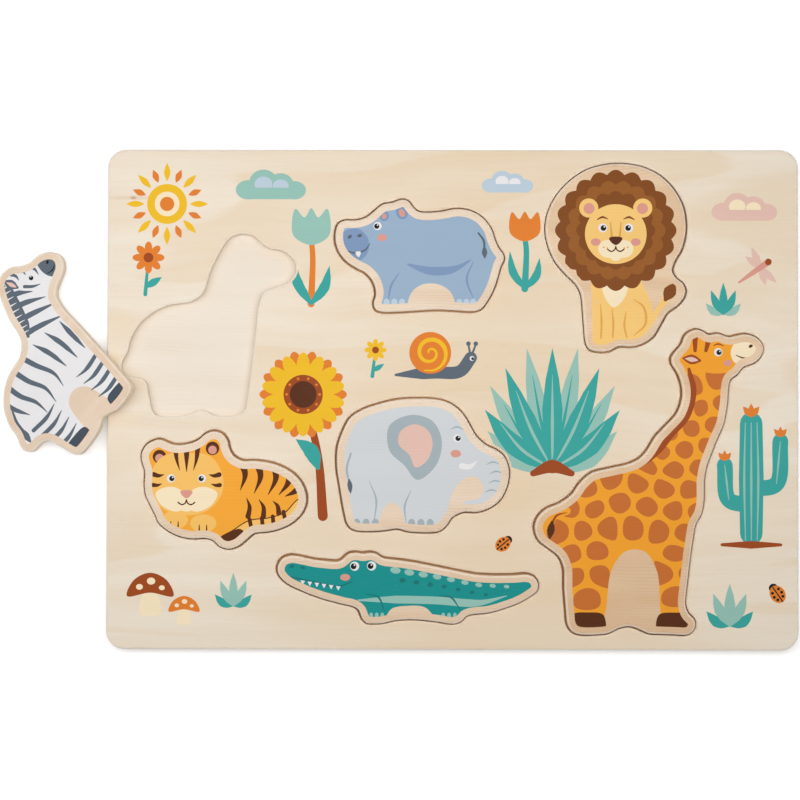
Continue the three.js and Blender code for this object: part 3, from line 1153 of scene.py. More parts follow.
    @cache
    def ink(self, ink: Ink) -> bpy.types.Material:
        """Return the material of one ink of the print."""
        finish = WOODS[Wood.PIECE]
        material, graph, shader, place = self._start(f"print_{ink.name.lower()}")
        grain = self._grain(graph, place, finish)
        hands = self._effect(graph, self.effects.handling, Place=place, Size=self.smudge_size)
        shade = tuple(channel * PRINT.dark for channel in linear(ink.value)[:3]) + (1.0,)
        dull = graph.maths("ADD", graph.maths("ADD", grain["Figure"], grain["Streak"]), grain["Line"])
        colour = graph.mix(graph.maths("MULTIPLY", dull, PRINT.show_through), linear(ink.value), shade)
        thin = graph.maths("ADD", graph.ramp(grain["Fibre"], *PRINT.thin_fibres), grain["Pore"])
        colour = self._layered(graph, colour, (thin, PRINT.thin_spots, finish.light))
        graph.tree.links.new(colour, shader.inputs["Base Color"])
        changes = (hands["Smudge"], -PRINT.polish), (grain["Fibre"], PRINT.fibre_roughness)
        self._rough(graph, shader, PRINT.roughness, *changes)
        shader.inputs["Specular IOR Level"].default_value = PRINT.gloss
        self._relief(graph, shader, grain, PRINT.relief)
        return material


# Animal pieces


@dataclass
class Animal(ABC):
    """One lift-out piece: a rounded plate of plywood with an animal printed on it.

    Attributes:
        name: name of its node, body and piece.
        corner: where the lower left corner of its box lies from the animal's own foot line.
        rim: bare wood left round the print.
        wood: its cut of plywood.
    """

    name: str
    corner: Point
    rim: float = 5.0
    wood: Wood = Wood.PIECE

    @abstractmethod
    def draw(self, sketch: Sketch) -> None:
        """Draw the animal, from its own foot line."""

    def placement(self) -> Matrix | None:
        """Return where the piece lies, if not in its recess."""
        return None

    def build(self, workshop: Workshop) -> None:
        """Make the piece in place of its CAD node.

        Args:
            workshop: where the materials come from.
        """
        plate = Plate.read(self.name, self.placement())
        outline = plate.loops[0]
        shift = outline.min(axis=0) - self.corner
        sketch = Sketch(moved(outline, self.rim) - shift, tuple(shift))
        self.draw(sketch)
        piece = plate.build(f"{self.name}_piece", self.wood, sketch.marks, workshop)
        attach(piece, self.name)
        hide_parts(self.name)
        LOG.info("%s: %d faces, %d marks", piece.name, len(piece.data.polygons), len(sketch.marks))


@dataclass
class Hippo(Animal):
    """The hippo, walking to the left."""

    name: str = "hippo"
    corner: Point = (-58.4, -1.3)

    def draw(self, sketch: Sketch) -> None:
        """Draw the hippo."""
        shade = Ink.HIPPO_SHADE
        sketch.add(Ink.HIPPO_BLUE, sketch.body)
        sketch.patch(Ink.BARE, (-11, 0), (-9, 11), (-2, 16.5), (9, 16.5), (17, 11), (19, 0), (4, -3))
        sketch.patch(shade, (-12, 30), (2, 23), (18, 24), (30, 33), (20, 29), (4, 28))
        sketch.line(shade, [(-24, 6), (-22, 16), (-17, 24)], [0.6, 1.6, 0.5])
        sketch.line(shade, [(31, 8), (27, 20), (31, 31)], [0.6, 1.6, 0.5])
        sketch.patch(shade, (-54, 50), (-44, 53), (-37, 46), (-38, 36), (-46, 31), (-54, 37), (-56, 44))
        sketch.add(Ink.SLATE, oval(-49, 47.5, 1.6, 1.1, 40), oval(-42.6, 48.3, 1.6, 1.1, 20))
        sketch.line(Ink.SLATE, [(-52, 39), (-46, 37), (-39, 39), (-36, 43)], [0.5, 1.2, 1.2, 0.5])
        sketch.patch(Ink.WHITE, (-45.4, 37.4), (-41.8, 37.8), (-43.2, 34.2))
        sketch.add(shade, oval(-15.2, 63.4, 3.8, 4.6, 20), oval(-26.6, 61, 3, 3.4, -20))
        sketch.add(Ink.ROSE, oval(-15.2, 63, 1.9, 2.7, 20), oval(-26.6, 60.8, 1.4, 1.8, -20))
        sketch.spot(Ink.ROSE, -28, 47, 3.2, 2.3)
        sketch.eye(-31, 54.5, look=-0.5)
        for x in (-25, -20, -15, 22.2, 26.8, 31.2):
            sketch.spot(Ink.SKY, x, 4.8, 2, 2.6)
        sketch.line(Ink.SLATE, [(34.5, 50), (38, 45), (38.4, 39)], [1.2, 1.5, 1.4])
        sketch.blade(Ink.SLATE, 38.4, 41, 7.5, -88, 3.6)


@dataclass
class Elephant(Animal):
    """The elephant, standing with its trunk curled in."""

    name: str = "elephant"
    corner: Point = (-54.1, -1.1)

    def draw(self, sketch: Sketch) -> None:
        """Draw the elephant."""
        shade = Ink.ELEPHANT_SHADE
        sketch.add(Ink.ELEPHANT_GREY, sketch.body)
        sketch.patch(Ink.BARE, (-26, 0), (-25, 12), (-19, 18), (-13, 15), (-11, 0), (-18, -3))
        sketch.patch(Ink.BARE, (17, 4), (20, 22), (27, 33), (36, 35), (41, 28), (38, 21), (29, 19), (24, 11))
        sketch.patch(shade, (-20, 68), (-6, 75), (8, 71), (14, 58), (10, 42), (-2, 33), (-10, 42), (-20, 52))
        sketch.patch(Ink.PINK, (-13, 64), (-4, 69), (5, 65), (8, 56), (4, 45), (-3, 41), (-7, 49), (-14, 56))
        sketch.eye(24, 60)
        sketch.line(shade, [(20, 66), (24, 67.4), (28, 65.5)], [0.5, 1.1, 0.5])
        sketch.spot(Ink.ROSE, 23, 50, 3.4, 2.5)
        sketch.line(Ink.WHITE, [(27, 42), (32, 41.5), (36.5, 45)], [4, 3.2, 0.6])
        for y, reach in ((44, 51), (38, 53), (32, 52.5), (26, 50)):
            sketch.line(shade, [(reach - 8, y - 1), (reach - 4, y + 0.6), (reach, y - 0.4)], [0.4, 1.1, 0.5])
        for x in (-41, -35, -29, -5.5, 0.5, 6.5):
            sketch.spot(shade, x, 4.8, 2.3, 3)
        sketch.line(shade, [(-45, 50), (-47.6, 40), (-46, 31)], [1.2, 1.5, 1.2])
        sketch.blade(Ink.SLATE, -46, 33, 9, -84, 3.4)
        sketch.line(shade, [(-30, 5), (-28.5, 20), (-33, 32)], [0.4, 1.3, 0.4])
        sketch.line(shade, [(-9, 5), (-10, 16), (-6, 26)], [0.4, 1.3, 0.4])


@dataclass
class Crocodile(Animal):
    """The crocodile, crawling to the left."""

    name: str = "crocodile"
    corner: Point = (-82.4, -0.3)
    rim: float = 4.6

    def draw(self, sketch: Sketch) -> None:
        """Draw the crocodile."""
        deep, light = Ink.DEEP_TEAL, Ink.LIGHT_TEAL
        sketch.add(Ink.CROCODILE_TEAL, sketch.body)
        sketch.patch(Ink.BARE, (-12, 0), (-9, 9), (2, 11.5), (14, 10), (20, 0), (4, -4))
        sketch.line(light, [(-30, 15), (-8, 15.5), (20, 15), (48, 13.5), (66, 18)], [1, 5, 5, 5, 0.5])
        for step in range(9):
            x = -6 + 9 * step
            y = np.interp(x, (-6, 22, 46, 70), (34.4, 30.2, 25.2, 23.8))
            size = 4.2 - 0.24 * step
            sketch.spot(light, x, y, size * 0.8, size * 0.5, -9)
            if step < 7:
                sketch.spot(deep, x + 4.6, y - 6.4, size * 0.5, size * 0.36)
        sketch.line(deep, [(-74, 30), (-58, 26.5), (-43, 24), (-34, 27)], [0.8, 1.5, 1.5, 0.6])
        for step in range(6):
            x = -66 + 4.6 * step
            y = 27.8 - 0.72 * step
            sketch.add(Ink.WHITE, np.array([(x - 1.5, y), (x, y - 3), (x + 1.5, y - 0.3)]))
        sketch.add(deep, oval(-73, 36.8, 1.7, 1.1, 20), oval(-66, 36, 1.7, 1.1, -20))
        sketch.spot(Ink.ROSE, -38.5, 29.8, 3.2, 2.2)
        sketch.eye(-32.4, 37, 3, look=-0.7)
        sketch.eye(-21.4, 37.2, 3, look=-0.7)
        sketch.line(deep, [(-25, 19), (-17, 17), (-13, 8)], [0.4, 1.3, 0.4])
        sketch.line(deep, [(22, 18), (30, 17), (36, 9)], [0.4, 1.3, 0.4])
        for x in (-21.6, -18, -14.4, 25, 28.8, 32.6):
            sketch.spot(light, x, 5.2, 1.2, 1.9)


@dataclass
class Giraffe(Animal):
    """The giraffe, looking to the right."""

    name: str = "giraffe"
    corner: Point = (-58.7, -0.2)
    wood: Wood = Wood.TAN_PIECE
    coat: tuple[Point, ...] = (
        (58, 164), (45, 160), (62, 150), (48, 147), (37, 146), (57, 136), (42, 134), (29, 131),
        (53, 122), (38, 120), (23, 118), (48, 108), (31, 107), (14, 110), (42, 94), (25, 94),
        (8, 98), (-9, 100), (-25, 94), (46, 80), (31, 80), (14, 83), (-4, 86), (-20, 81),
        (-36, 82), (38, 66), (22, 68), (5, 70), (-12, 70), (-28, 67), (-42, 67), (33, 52),
        (-20, 54), (-34, 52), (38, 40), (27, 39), (-19, 39), (-31, 38), (32, 27), (-25, 25),
    )

    def draw(self, sketch: Sketch) -> None:
        """Draw the giraffe."""
        sketch.add(Ink.GIRAFFE_ORANGE, sketch.body)
        sketch.add(Ink.GIRAFFE_PATCH, *cells(list(self.coat), 3.4, 9.0))
        sketch.patch(Ink.BARE, (-13, -2), (-12, 22), (-9, 42), (0, 54), (12, 54), (20, 42), (22, 22),
                     (21, -2), (4, -6))
        for x in (-24.5, 31.5):
            sketch.patch(Ink.DARK_BROWN, (x - 10, 13), (x, 14.5), (x + 10, 13), (x + 11, 2), (x, 0),
                         (x - 11, 2))
        mane = [(41, 172), (43.6, 160), (42.6, 150), (38.6, 140), (29.6, 130), (22.4, 120.5), (14, 112.6),
                (3, 107)]
        sketch.line(Ink.BROWN, mane, [2, 4.4, 4.4, 4.4, 4.4, 4, 3, 0.6])
        face = blob((40, 190), (52, 190), (66, 188), (84, 190), (87, 184), (78, 176), (66, 170), (52, 170),
                    (40, 176))
        sketch.add(Ink.GIRAFFE_ORANGE, face)
        sketch.patch(Ink.CREAM, (72, 190), (84, 190), (87, 184), (79, 177), (71, 176), (68, 183))
        sketch.spot(Ink.DARK_BROWN, 81, 187, 1.5, 1.0, 30)
        sketch.line(Ink.DARK_BROWN, [(83, 180.5), (77, 179.2), (71.5, 181)], [0.4, 1.1, 0.5])
        sketch.add(Ink.BROWN, stroke([(45, 184), (45, 192)], [2.2, 3.6]),
                   stroke([(52, 184), (53.5, 190)], [2.2, 3.4]))
        sketch.blade(Ink.BROWN, 48, 177.6, 11.5, 172, 6.5)
        sketch.blade(Ink.PINK, 46.4, 177.8, 8, 172, 3.2)
        sketch.spot(Ink.ROSE, 66, 176, 2.9, 2.1)
        sketch.eye(60, 183)
        sketch.line(Ink.BROWN, [(57, 187.4), (60, 188.4), (63.4, 187.2)], [0.5, 1.1, 0.5])
        sketch.line(Ink.GIRAFFE_ORANGE, [(-38, 80), (-46, 77), (-50, 70)], [5, 5, 5])
        sketch.line(Ink.BROWN, [(-38, 79), (-44.6, 77), (-48, 71)], [0.4, 1.4, 1.6])
        sketch.blade(Ink.DARK_BROWN, -47.6, 73, 11.5, -98, 5)


@dataclass
class Lion(Animal):
    """The lion, sitting, with a mane in two rings of locks."""

    name: str = "lion"
    corner: Point = (-46.1, -0.7)
    rim: float = 4.2
    wood: Wood = Wood.LIGHTER_GAP_PIECE
    mane_centre: Point = (-0.6, 77.9)

    def draw(self, sketch: Sketch) -> None:
        """Draw the lion."""
        x, y = self.mane_centre
        sketch.line(Ink.LION_YELLOW, [(13, 13), (22.5, 19.5), (28, 27), (33, 36)], [5, 5, 4.6, 4])
        sketch.blade(Ink.MANE_BROWN, 31.6, 33, 12.5, 60, 8.4)
        body = blob((-15, 50), (-16, 30), (-15.5, 12), (-15, 5), (-8, 3.4), (-2, 6), (6, 6.5), (15, 8),
                    (22, 16), (23, 28), (17, 42), (12, 52), (-2, 56))
        sketch.add(Ink.LION_YELLOW, body)
        sketch.patch(Ink.CREAM, (-9, 46), (-1, 50), (7, 45), (5, 34), (-2, 28), (-8, 35))
        legs = (((-10.5, 30), (-9.8, 18), (-10.2, 8)), ((-3, 27), (-2.2, 17), (-2.6, 8.5)),
                ((6, 25), (5, 16), (6.5, 8.5)))
        for leg in legs:
            sketch.line(Ink.LION_SHADE, list(leg), [0.5, 1.4, 1.0])
        sketch.line(Ink.LION_SHADE, [(11, 9.5), (18.5, 17), (17.5, 28), (11, 33)], [0.5, 1.5, 1.5, 0.5])
        for ink, radius, lobes, depth in ((Ink.MANE_BROWN, 39.4, 20, 3.0), (Ink.MANE_LIGHT, 32.4, 18, 2.8),
                                          (Ink.MANE_BROWN, 25.6, 16, 2.2)):
            sketch.add(ink, scallop(x, y, radius, lobes, depth))
        sketch.pair(Ink.LION_YELLOW, x, oval(x - 17.5, y + 14.5, 6.2))
        sketch.pair(Ink.ROSE, x, oval(x - 17.3, y + 14.2, 3.6))
        sketch.spot(Ink.LION_YELLOW, x, y - 2.4, 20, 19.4)
        sketch.add(Ink.CREAM, oval(x - 5, y - 12, 6.4, 5.8), oval(x + 5, y - 12, 6.4, 5.8),
                   oval(x, y - 16, 4.2, 3.8))
        sketch.pair(Ink.LION_SHADE, x, stroke([(x - 3.4, y + 5), (x - 2.6, y - 4)], [0.8, 1.6]))
        sketch.patch(Ink.DARK_BROWN, (x - 4.4, y - 5), (x, y - 4), (x + 4.4, y - 5), (x + 2.6, y - 8.2),
                     (x, y - 9.6), (x - 2.6, y - 8.2))
        sketch.smile(x, y - 12.8, 5.4, Ink.DARK_BROWN)
        for dx, dy in ((5.6, -11.6), (7.8, -11)):
            sketch.add(Ink.LION_SHADE, oval(x + dx, y + dy, 0.6), oval(x - dx, y + dy, 0.6))
        sketch.eye(x - 8.4, y + 1.6, 2.9, look=0.4)
        sketch.eye(x + 8.4, y + 1.6, 2.9, look=-0.4)
        brow = stroke([(x - 12, y + 7), (x - 8.6, y + 8.6), (x - 5.2, y + 7.4)], [0.6, 1.5, 0.6])
        sketch.pair(Ink.MANE_BROWN, x, brow)
        sketch.pair(Ink.ROSE, x, oval(x - 13, y - 7.6, 3.2, 2.5))


@dataclass
class Tiger(Animal):
    """The tiger, lying down with its tail round its feet."""

    name: str = "tiger"
    corner: Point = (-51.5, -0.1)

    def draw(self, sketch: Sketch) -> None:
        """Draw the tiger."""
        dark = Ink.DARK_BROWN
        middle = -22.0
        sketch.add(Ink.TIGER_ORANGE, sketch.body)
        for path in ([(13, 58), (16, 48), (13, 38)], [(23, 58), (26, 47), (22, 36)],
                     [(34, 57), (36, 46), (31, 35)], [(45, 52), (44, 43), (38, 35)],
                     [(54, 42), (48, 37), (42, 34)]):
            sketch.line(dark, path, [5.4, 3.6, 0.4])
        for path in ([(18, 21), (19, 27), (17, 33)], [(28, 21), (28, 27), (25, 32)],
                     [(38, 23), (37, 28), (34, 31)]):
            sketch.line(dark, path, [3.4, 2.6, 0.3])
        tail = [(52, 28), (44, 19.5), (32, 15.5), (20, 14), (10, 8), (4, 5)]
        sketch.line(dark, tail, [9.4, 10, 9.6, 9])
        sketch.line(Ink.TIGER_LIGHT, tail, [8, 8.6, 8.2, 7.6])
        for a, b in (((41, 24), (43, 14)), ((34, 21), (35, 11)), ((27, 20), (28, 10)), ((19, 19), (21, 9))):
            sketch.line(dark, [a, b], [2.6, 2.6])
        sketch.line(dark, [(12, 9), (7, 6), (3, 5)], [8, 9, 8])
        for x, y in ((-29.5, 18.6), (-11, 16.4)):
            sketch.spot(Ink.TIGER_LIGHT, x, y, 8.5, 5.8)
            sketch.add(dark, *(stroke([(x + d, y - 4.2), (x + d, y - 1)], [1, 0.5]) for d in (-2.6, 2.2)))
        ears = ((-39.6, 59.6), (-5.2, 65))
        sketch.add(Ink.TIGER_ORANGE, *(oval(x, y, 7) for x, y in ears))
        sketch.add(dark, *(oval(x, y, 4.4) for x, y in ears))
        sketch.add(Ink.ROSE, *(oval(x, y - 1, 2.8) for x, y in ears))
        sketch.patch(Ink.TIGER_LIGHT, (-22, 62), (-7, 60), (1, 49), (1, 36), (-8, 25), (-22, 21.5), (-36, 25),
                     (-45, 36), (-45, 49), (-37, 60))
        cheek = blob((-26, 38), (-34, 40), (-42, 36), (-38, 28), (-28, 24), (-22, 28))
        sketch.add(Ink.CREAM, cheek, mirrored(cheek, middle), oval(middle, 29, 6, 5))
        sketch.patch(Ink.ROSE, (-26, 37), (-22, 38), (-18, 37), (-19.6, 34), (-22, 32.6), (-24.4, 34))
        sketch.smile(middle, 29.4, 5.4, dark)
        sketch.eye(-32, 45.5, look=0.5)
        sketch.eye(-12, 45.5, look=-0.5)
        crown = [stroke([(-29.6, 70), (-28.4, 58), (-26.5, 51)], [3.8, 2.8, 0.4])]
        crown += [stroke([(-43.2, 48), (-40, 47.2), (-36.5, 48)], [3.2, 2.4, 0.3])]
        crown += [stroke([(-43.6, 41.2), (-41, 41), (-38, 42)], [2.8, 2, 0.3])]
        sketch.pair(dark, middle, *crown)
        sketch.line(dark, [(-22, 70), (-22, 58), (-22, 50)], [4.2, 3.2, 0.4])


@dataclass
class Zebra(Animal):
    """The zebra, taken out of its recess and lying over the board's left edge."""

    name: str = "zebra"
    corner: Point = (-50.4, -0.7)
    wood: Wood = Wood.LOOSE_PIECE

    def recess(self) -> Loop:
        """Return the outline of the empty recess, anticlockwise."""
        middles = [np.mean(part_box(node), axis=0)[None, :2] / MM for node in SEATED]
        holes = [loop[::-1] for loop in Plate.read("cutout_panel").loops[1:]]
        return next(hole for hole in holes if not any(inside(middle, hole)[0] for middle in middles))

    def placement(self) -> Matrix:
        """Return the move from the zebra's recess to where the loose piece lies."""
        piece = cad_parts[self.name].data
        up = max(piece.polygons, key=lambda face: face.area).normal.copy()
        up = up if up.z > 0 else -up
        across = (Vector((1, 0, 0)) - up * up.x).normalized()
        tilt = Matrix((across, up.cross(across), up)).transposed()
        loose = Plate.read(self.name, tilt.to_4x4())
        recess = self.recess()
        middle, lie = balance(loose.loops[0])
        seat, seated = balance(recess)
        turn = Matrix.Rotation(lie - seated, 3, "Z")
        lean = recess.mean(axis=0) - seat
        swung = np.array(turn.to_2x2()) @ lean
        if np.dot(swung, loose.loops[0].mean(axis=0) - middle) < 0:
            turn = Matrix.Rotation(lie - seated + math.pi, 3, "Z")
        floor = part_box("base_panel")[1][2] / MM
        here = Vector((*seat, floor)) * MM
        there = tilt @ (Vector((*middle, loose.bottom)) * MM)
        return Matrix.Translation(there) @ (tilt @ turn).to_4x4() @ Matrix.Translation(-here)

    def draw(self, sketch: Sketch) -> None:
        """Draw the zebra."""
        slate = Ink.SLATE
        sketch.add(Ink.WHITE, sketch.body)
        sketch.patch(Ink.BARE, (-11, -3), (-11, 16), (-7, 27), (1, 30), (8, 26), (11, 16), (11, -3), (0, -5))
        for path in ([(6, 79), (17, 75), (34, 67)], [(10, 88), (20, 84), (37, 76)],
                     [(14, 96), (23, 92), (35, 84)], [(18, 103), (25, 99.5), (32, 93)]):
            sketch.line(slate, path, [4, 3.4, 0.5])
        for path in ([(-6, 73), (-3, 60), (1, 47), (-1, 37)], [(-16, 71), (-14, 57), (-10, 45), (-12, 34)],
                     [(-26, 68), (-25, 55), (-21, 44), (-21, 34)], [(-36, 62), (-34, 52), (-30, 42)]):
            sketch.line(slate, path, [3.8, 3.4, 2.6, 0.4])
        for path in ([(6, 70), (9, 58), (10, 44)], [(17, 69), (19, 57), (19, 42)],
                     [(29, 66), (28, 55), (27, 42)]):
            sketch.line(slate, path, [0.5, 3.4, 3, 0.5])
        for y in (34, 27.5, 21, 14.5):
            sketch.line(slate, [(9, y), (17, y - 1.6), (29, y - 0.4)], [0.5, 2.8, 2.6])
            sketch.line(slate, [(-36, y - 0.6), (-24, y - 1.8), (-14, y)], [2.6, 2.8, 0.5])
        for x, half in ((-21, 9), (19.6, 8)):
            hoof = blob((x - half, 9), (x, 10.4), (x + half, 9), (x + half + 0.6, 4), (x + half, -2),
                        (x - half, -2))
            sketch.add(Ink.IRON, hoof)
        mane = np.array([(25, 111), (21.5, 105), (17.8, 97), (14.4, 89), (11.6, 82), (8, 76)])
        sketch.line(slate, mane, [3, 7, 8, 8, 7, 2])
        for x, y in smooth(mane, closed=False, step=4.4)[1:-1]:
            sketch.line(Ink.WHITE, [(x - 3.6, y + 1.4), (x + 1.6, y - 0.6)], [1.2, 0.3])
        face = blob((23, 110), (30, 112), (40, 106), (52, 102), (56, 96), (52, 90), (42, 88), (34, 92),
                    (27, 100))
        sketch.add(Ink.WHITE, face)
        sketch.patch(slate, (49, 104), (57, 103), (59, 94), (54, 87), (48, 89), (46, 96))
        sketch.spot(Ink.BLACK, 53, 97.6, 1.3, 0.9, 30)
        sketch.line(Ink.BLACK, [(55, 92.8), (51, 91.6), (47.4, 92.8)], [0.4, 1, 0.4])
        for path in ([(31, 111), (32.4, 108), (31.6, 104.6)], [(36.5, 108.5), (37.8, 106), (37.2, 103.6)],
                     [(42.6, 105.4), (44, 101.6), (43, 97)], [(31, 99), (34.5, 95), (39, 92)]):
            sketch.line(slate, path, [2.2, 1.9, 0.4])
        sketch.blade(slate, 27.4, 102.4, 10.5, 106, 6.2)
        sketch.blade(Ink.PINK, 27.1, 103.4, 7, 106, 2.8)
        sketch.eye(37.6, 99.4, 2.4)
        sketch.line(slate, [(-36, 52), (-39.5, 45), (-41, 37)], [1.4, 2, 2])
        sketch.blade(slate, -40.8, 40, 11, -102, 4.6)


def balance(loop: Loop) -> tuple[np.ndarray, float]:
    """Measure how a flat shape lies.

    Args:
        loop: its outline, anticlockwise.

    Returns:
        Its centre of area and the direction of its long axis, in radians.
    """
    ahead = np.roll(loop, -1, axis=0)
    cross = loop[:, 0] * ahead[:, 1] - loop[:, 1] * ahead[:, 0]
    centre = ((loop + ahead) * cross[:, None]).sum(axis=0) / (3 * cross.sum())
    own, ahead = loop - centre, ahead - centre
    cross = own[:, 0] * ahead[:, 1] - own[:, 1] * ahead[:, 0]
    both = own + ahead
    spread_x = np.sum(cross * (own[:, 0] ** 2 + ahead[:, 0] ** 2 + both[:, 0] ** 2))
    spread_y = np.sum(cross * (own[:, 1] ** 2 + ahead[:, 1] ** 2 + both[:, 1] ** 2))
    spread_xy = np.sum(cross * (own[:, 0] * own[:, 1] + ahead[:, 0] * ahead[:, 1] + both[:, 0] * both[:, 1]))
    return centre, math.atan2(2 * spread_xy, spread_x - spread_y) / 2


# Board


@dataclass
class Scenery(Sketch):
    """The plants and sky printed on the board, drawn in the frame's millimetres."""

    def sun(self, x: float, y: float, radius: float) -> None:
        """Draw a sun with two kinds of rays."""
        for step in range(16):
            ink = Ink.ORANGE if step % 2 else Ink.YELLOW
            reach = 0.62 if step % 2 else 0.82
            angle = step * 22.5
            foot = radius * 1.22
            cos, sin = heading(angle)
            self.blade(ink, x + cos * foot, y + sin * foot, radius * reach, angle, radius * 0.32)
        self.spot(Ink.YELLOW, x, y, radius)
        self.spot(Ink.CREAM, x, y, radius * 0.62)
        self.spot(Ink.ORANGE, x, y, radius * 0.36)

    def cloud(self, x: float, y: float, size: float, ink: Ink, lining: Ink) -> None:
        """Draw a cloud with a paler lining."""
        puffs = ((-1.0, 0.02, 0.55, 0.42), (-0.35, 0.32, 0.62, 0.58), (0.4, 0.24, 0.56, 0.5),
                 (1.0, 0.0, 0.5, 0.4))
        self.line(ink, placed(((-1.0, -0.14), (1.0, -0.14)), x, y, size), [0.5 * size] * 2)
        self.add(ink, *(oval(x + size * a, y + size * b, size * c, size * d) for a, b, c, d in puffs))
        for a, b, c, d in puffs[1:3]:
            self.spot(lining, x + size * a, y + size * (b - 0.06), size * c * 0.62, size * d * 0.58)
        self.line(ink, placed(((-0.7, -0.06), (0.75, -0.06)), x, y, size), [0.34 * size] * 2)

    def sprout(self, x: float, y: float, size: float, ink: Ink, other: Ink) -> None:
        """Draw a low plant of rounded leaves."""
        fan = ((150, 0.72, other, 2), (30, 0.72, other, -2), (118, 0.94, ink, 1), (62, 0.94, ink, -1),
               (90, 1.1, ink, 0))
        for angle, length, tint, bend in fan:
            self.blade(tint, x, y, size * length, angle, size * 0.3, bend * size * 0.05)

    def tulip(self, x: float, y: float, height: float, bloom: Ink, stem: Ink) -> None:
        """Draw a tulip with two long leaves."""
        size = height * 0.33
        top = y + height - size
        self.line(stem, [(x, y), (x + 1, y + height / 2), (x, top)], [4.6, 3.8, 3.4])
        for angle, length, bend in ((112, 0.52, 3), (64, 0.44, -3)):
            self.blade(Ink.TEAL, x, y, height * length, angle, height * 0.11, bend)
        half = [(0.55, 0.12), (0.62, 0.55), (0.5, 1.0), (0.22, 0.72)]
        petals = [(0, -0.16), *half, (0, 1.02), *((-across, up) for across, up in reversed(half))]
        self.patch(bloom, *placed(petals, x, top, size))

    def sunflower(self, x: float, y: float, radius: float, foot: Point) -> None:
        """Draw a tall flower with a dark middle, whose stem bends down to its foot."""
        lean = (foot[0] + 0.25 * (x - foot[0]), (y + foot[1]) / 2)
        self.line(Ink.BROWN, [foot, lean, (x, y)], [6.5, 5, 4.2])
        self.blade(Ink.TEAL, lean[0], lean[1] - 8, radius * 0.8, 128, radius * 0.34, -3)
        for layer, (ink, reach) in enumerate(((Ink.ORANGE, 0.98), (Ink.YELLOW, 0.94))):
            for step in range(14):
                angle = (step + layer / 2) * 360 / 14
                cos, sin = heading(angle)
                middle = radius * reach * 0.66
                petal = oval(x + cos * middle, y + sin * middle, radius * reach * 0.34, radius * 0.15, angle)
                self.add(ink, petal)
        self.spot(Ink.BROWN, x, y, radius * 0.44)
        self.spot(Ink.DARK_BROWN, x, y, radius * 0.3)
        for step in range(10):
            angle = step * 0.628
            dot = (x + radius * 0.37 * math.cos(angle), y + radius * 0.37 * math.sin(angle))
            self.spot(Ink.ORANGE, *dot, 0.9)

    def agave(self, x: float, y: float, size: float) -> None:
        """Draw a rosette of long pointed leaves."""
        back = ((150, 0.62), (127, 0.86), (102, 1.02), (78, 1.02), (53, 0.86), (30, 0.62))
        front = ((139, 0.74), (115, 0.92), (90, 1.0), (65, 0.92), (41, 0.74))
        for fan, ink, rib in ((back, Ink.LIGHT_TEAL, Ink.TEAL), (front, Ink.TEAL, Ink.LIGHT_TEAL)):
            for angle, length in fan:
                bend = (angle - 90) * size * 0.0012
                self.blade(ink, x, y, size * length, angle, size * 0.17, bend)
                self.blade(rib, x, y, size * length * 0.78, angle, size * 0.026, bend * 0.78)
        self.line(Ink.BROWN, [(x - size * 0.16, y - 3), (x, y + 1.5), (x + size * 0.16, y - 3)], [4, 9, 4])

    def cactus(self, x: float, y: float, height: float) -> None:
        """Draw a ribbed cactus with two arms and flowers."""
        wide = height * 0.17
        sides = ((-1, 0.3, 0.2, 0.6), (1, 0.42, 0.22, 0.78))
        arms = [[(x, y + height * low), (x + side * height * (out - 0.03), y + height * (low + 0.04)),
                 (x + side * height * out, y + height * high)] for side, low, out, high in sides]
        for arm in arms:
            self.line(Ink.TEAL, arm, [wide * 0.7] * 2)
            self.line(Ink.LIGHT_TEAL, arm[1:], [0.5, 1.4, 0.5])
        self.line(Ink.TEAL, [(x, y + wide / 2), (x, y + height - wide / 2)], [wide, wide * 1.1, wide])
        for off in (-0.26, 0.0, 0.26):
            path = [(x + off * wide, y + 3), (x + off * wide * 1.2, y + height / 2),
                    (x + off * wide, y + height * 0.92)]
            self.line(Ink.LIGHT_TEAL, path, [0.6, 1.5, 0.6])
        tops = [(x, y + height)] + [(arm[-1][0], arm[-1][1] + wide * 0.36) for arm in arms]
        for (top_x, top_y), size in zip(tops, (5.4, 4.2, 4.2)):
            for angle in (50, 90, 130):
                self.blade(Ink.ORANGE, top_x, top_y - size * 0.5, size * 1.5, angle, size * 0.8)
        self.line(Ink.BROWN, [(x - wide * 1.3, y), (x + wide * 1.3, y)], [2, 5, 2])

    def mushroom(self, x: float, y: float, size: float, cap: Ink, spots: Ink) -> None:
        """Draw a mushroom with a spotted cap."""
        stalk = placed(((-0.16, 0.5), (-0.24, 0.0), (0.24, 0.0), (0.16, 0.5)), x, y, size)
        stalk.insert(2, (x, y - 1))
        dome = ((-0.56, 0.44), (-0.4, 0.82), (0.0, 1.0), (0.4, 0.82), (0.56, 0.44), (0.0, 0.52))
        self.patch(Ink.CREAM, *stalk)
        self.patch(cap, *placed(dome, x, y, size))
        for dx, dy, r in ((-0.26, 0.66, 0.07), (0.02, 0.8, 0.085), (0.28, 0.64, 0.06)):
            self.spot(spots, x + size * dx, y + size * dy, size * r * 1.2, size * r)

    def daisy(self, x: float, y: float, radius: float, petals: Ink, stem: float) -> None:
        """Draw a daisy on a short stem."""
        self.line(Ink.TEAL, [(x - 2, y - stem), (x - 1, y - stem / 2), (x, y)], [2.6, 2, 1.8])
        self.blade(Ink.TEAL, x - 1.6, y - stem * 0.8, radius * 1.2, 32, radius * 0.5)
        for step in range(8):
            angle = step * 45
            cos, sin = heading(angle)
            petal = oval(x + radius * 0.64 * cos, y + radius * 0.64 * sin, radius * 0.4, radius * 0.24, angle)
            self.add(petals, petal)
        self.spot(Ink.BROWN, x, y, radius * 0.32)

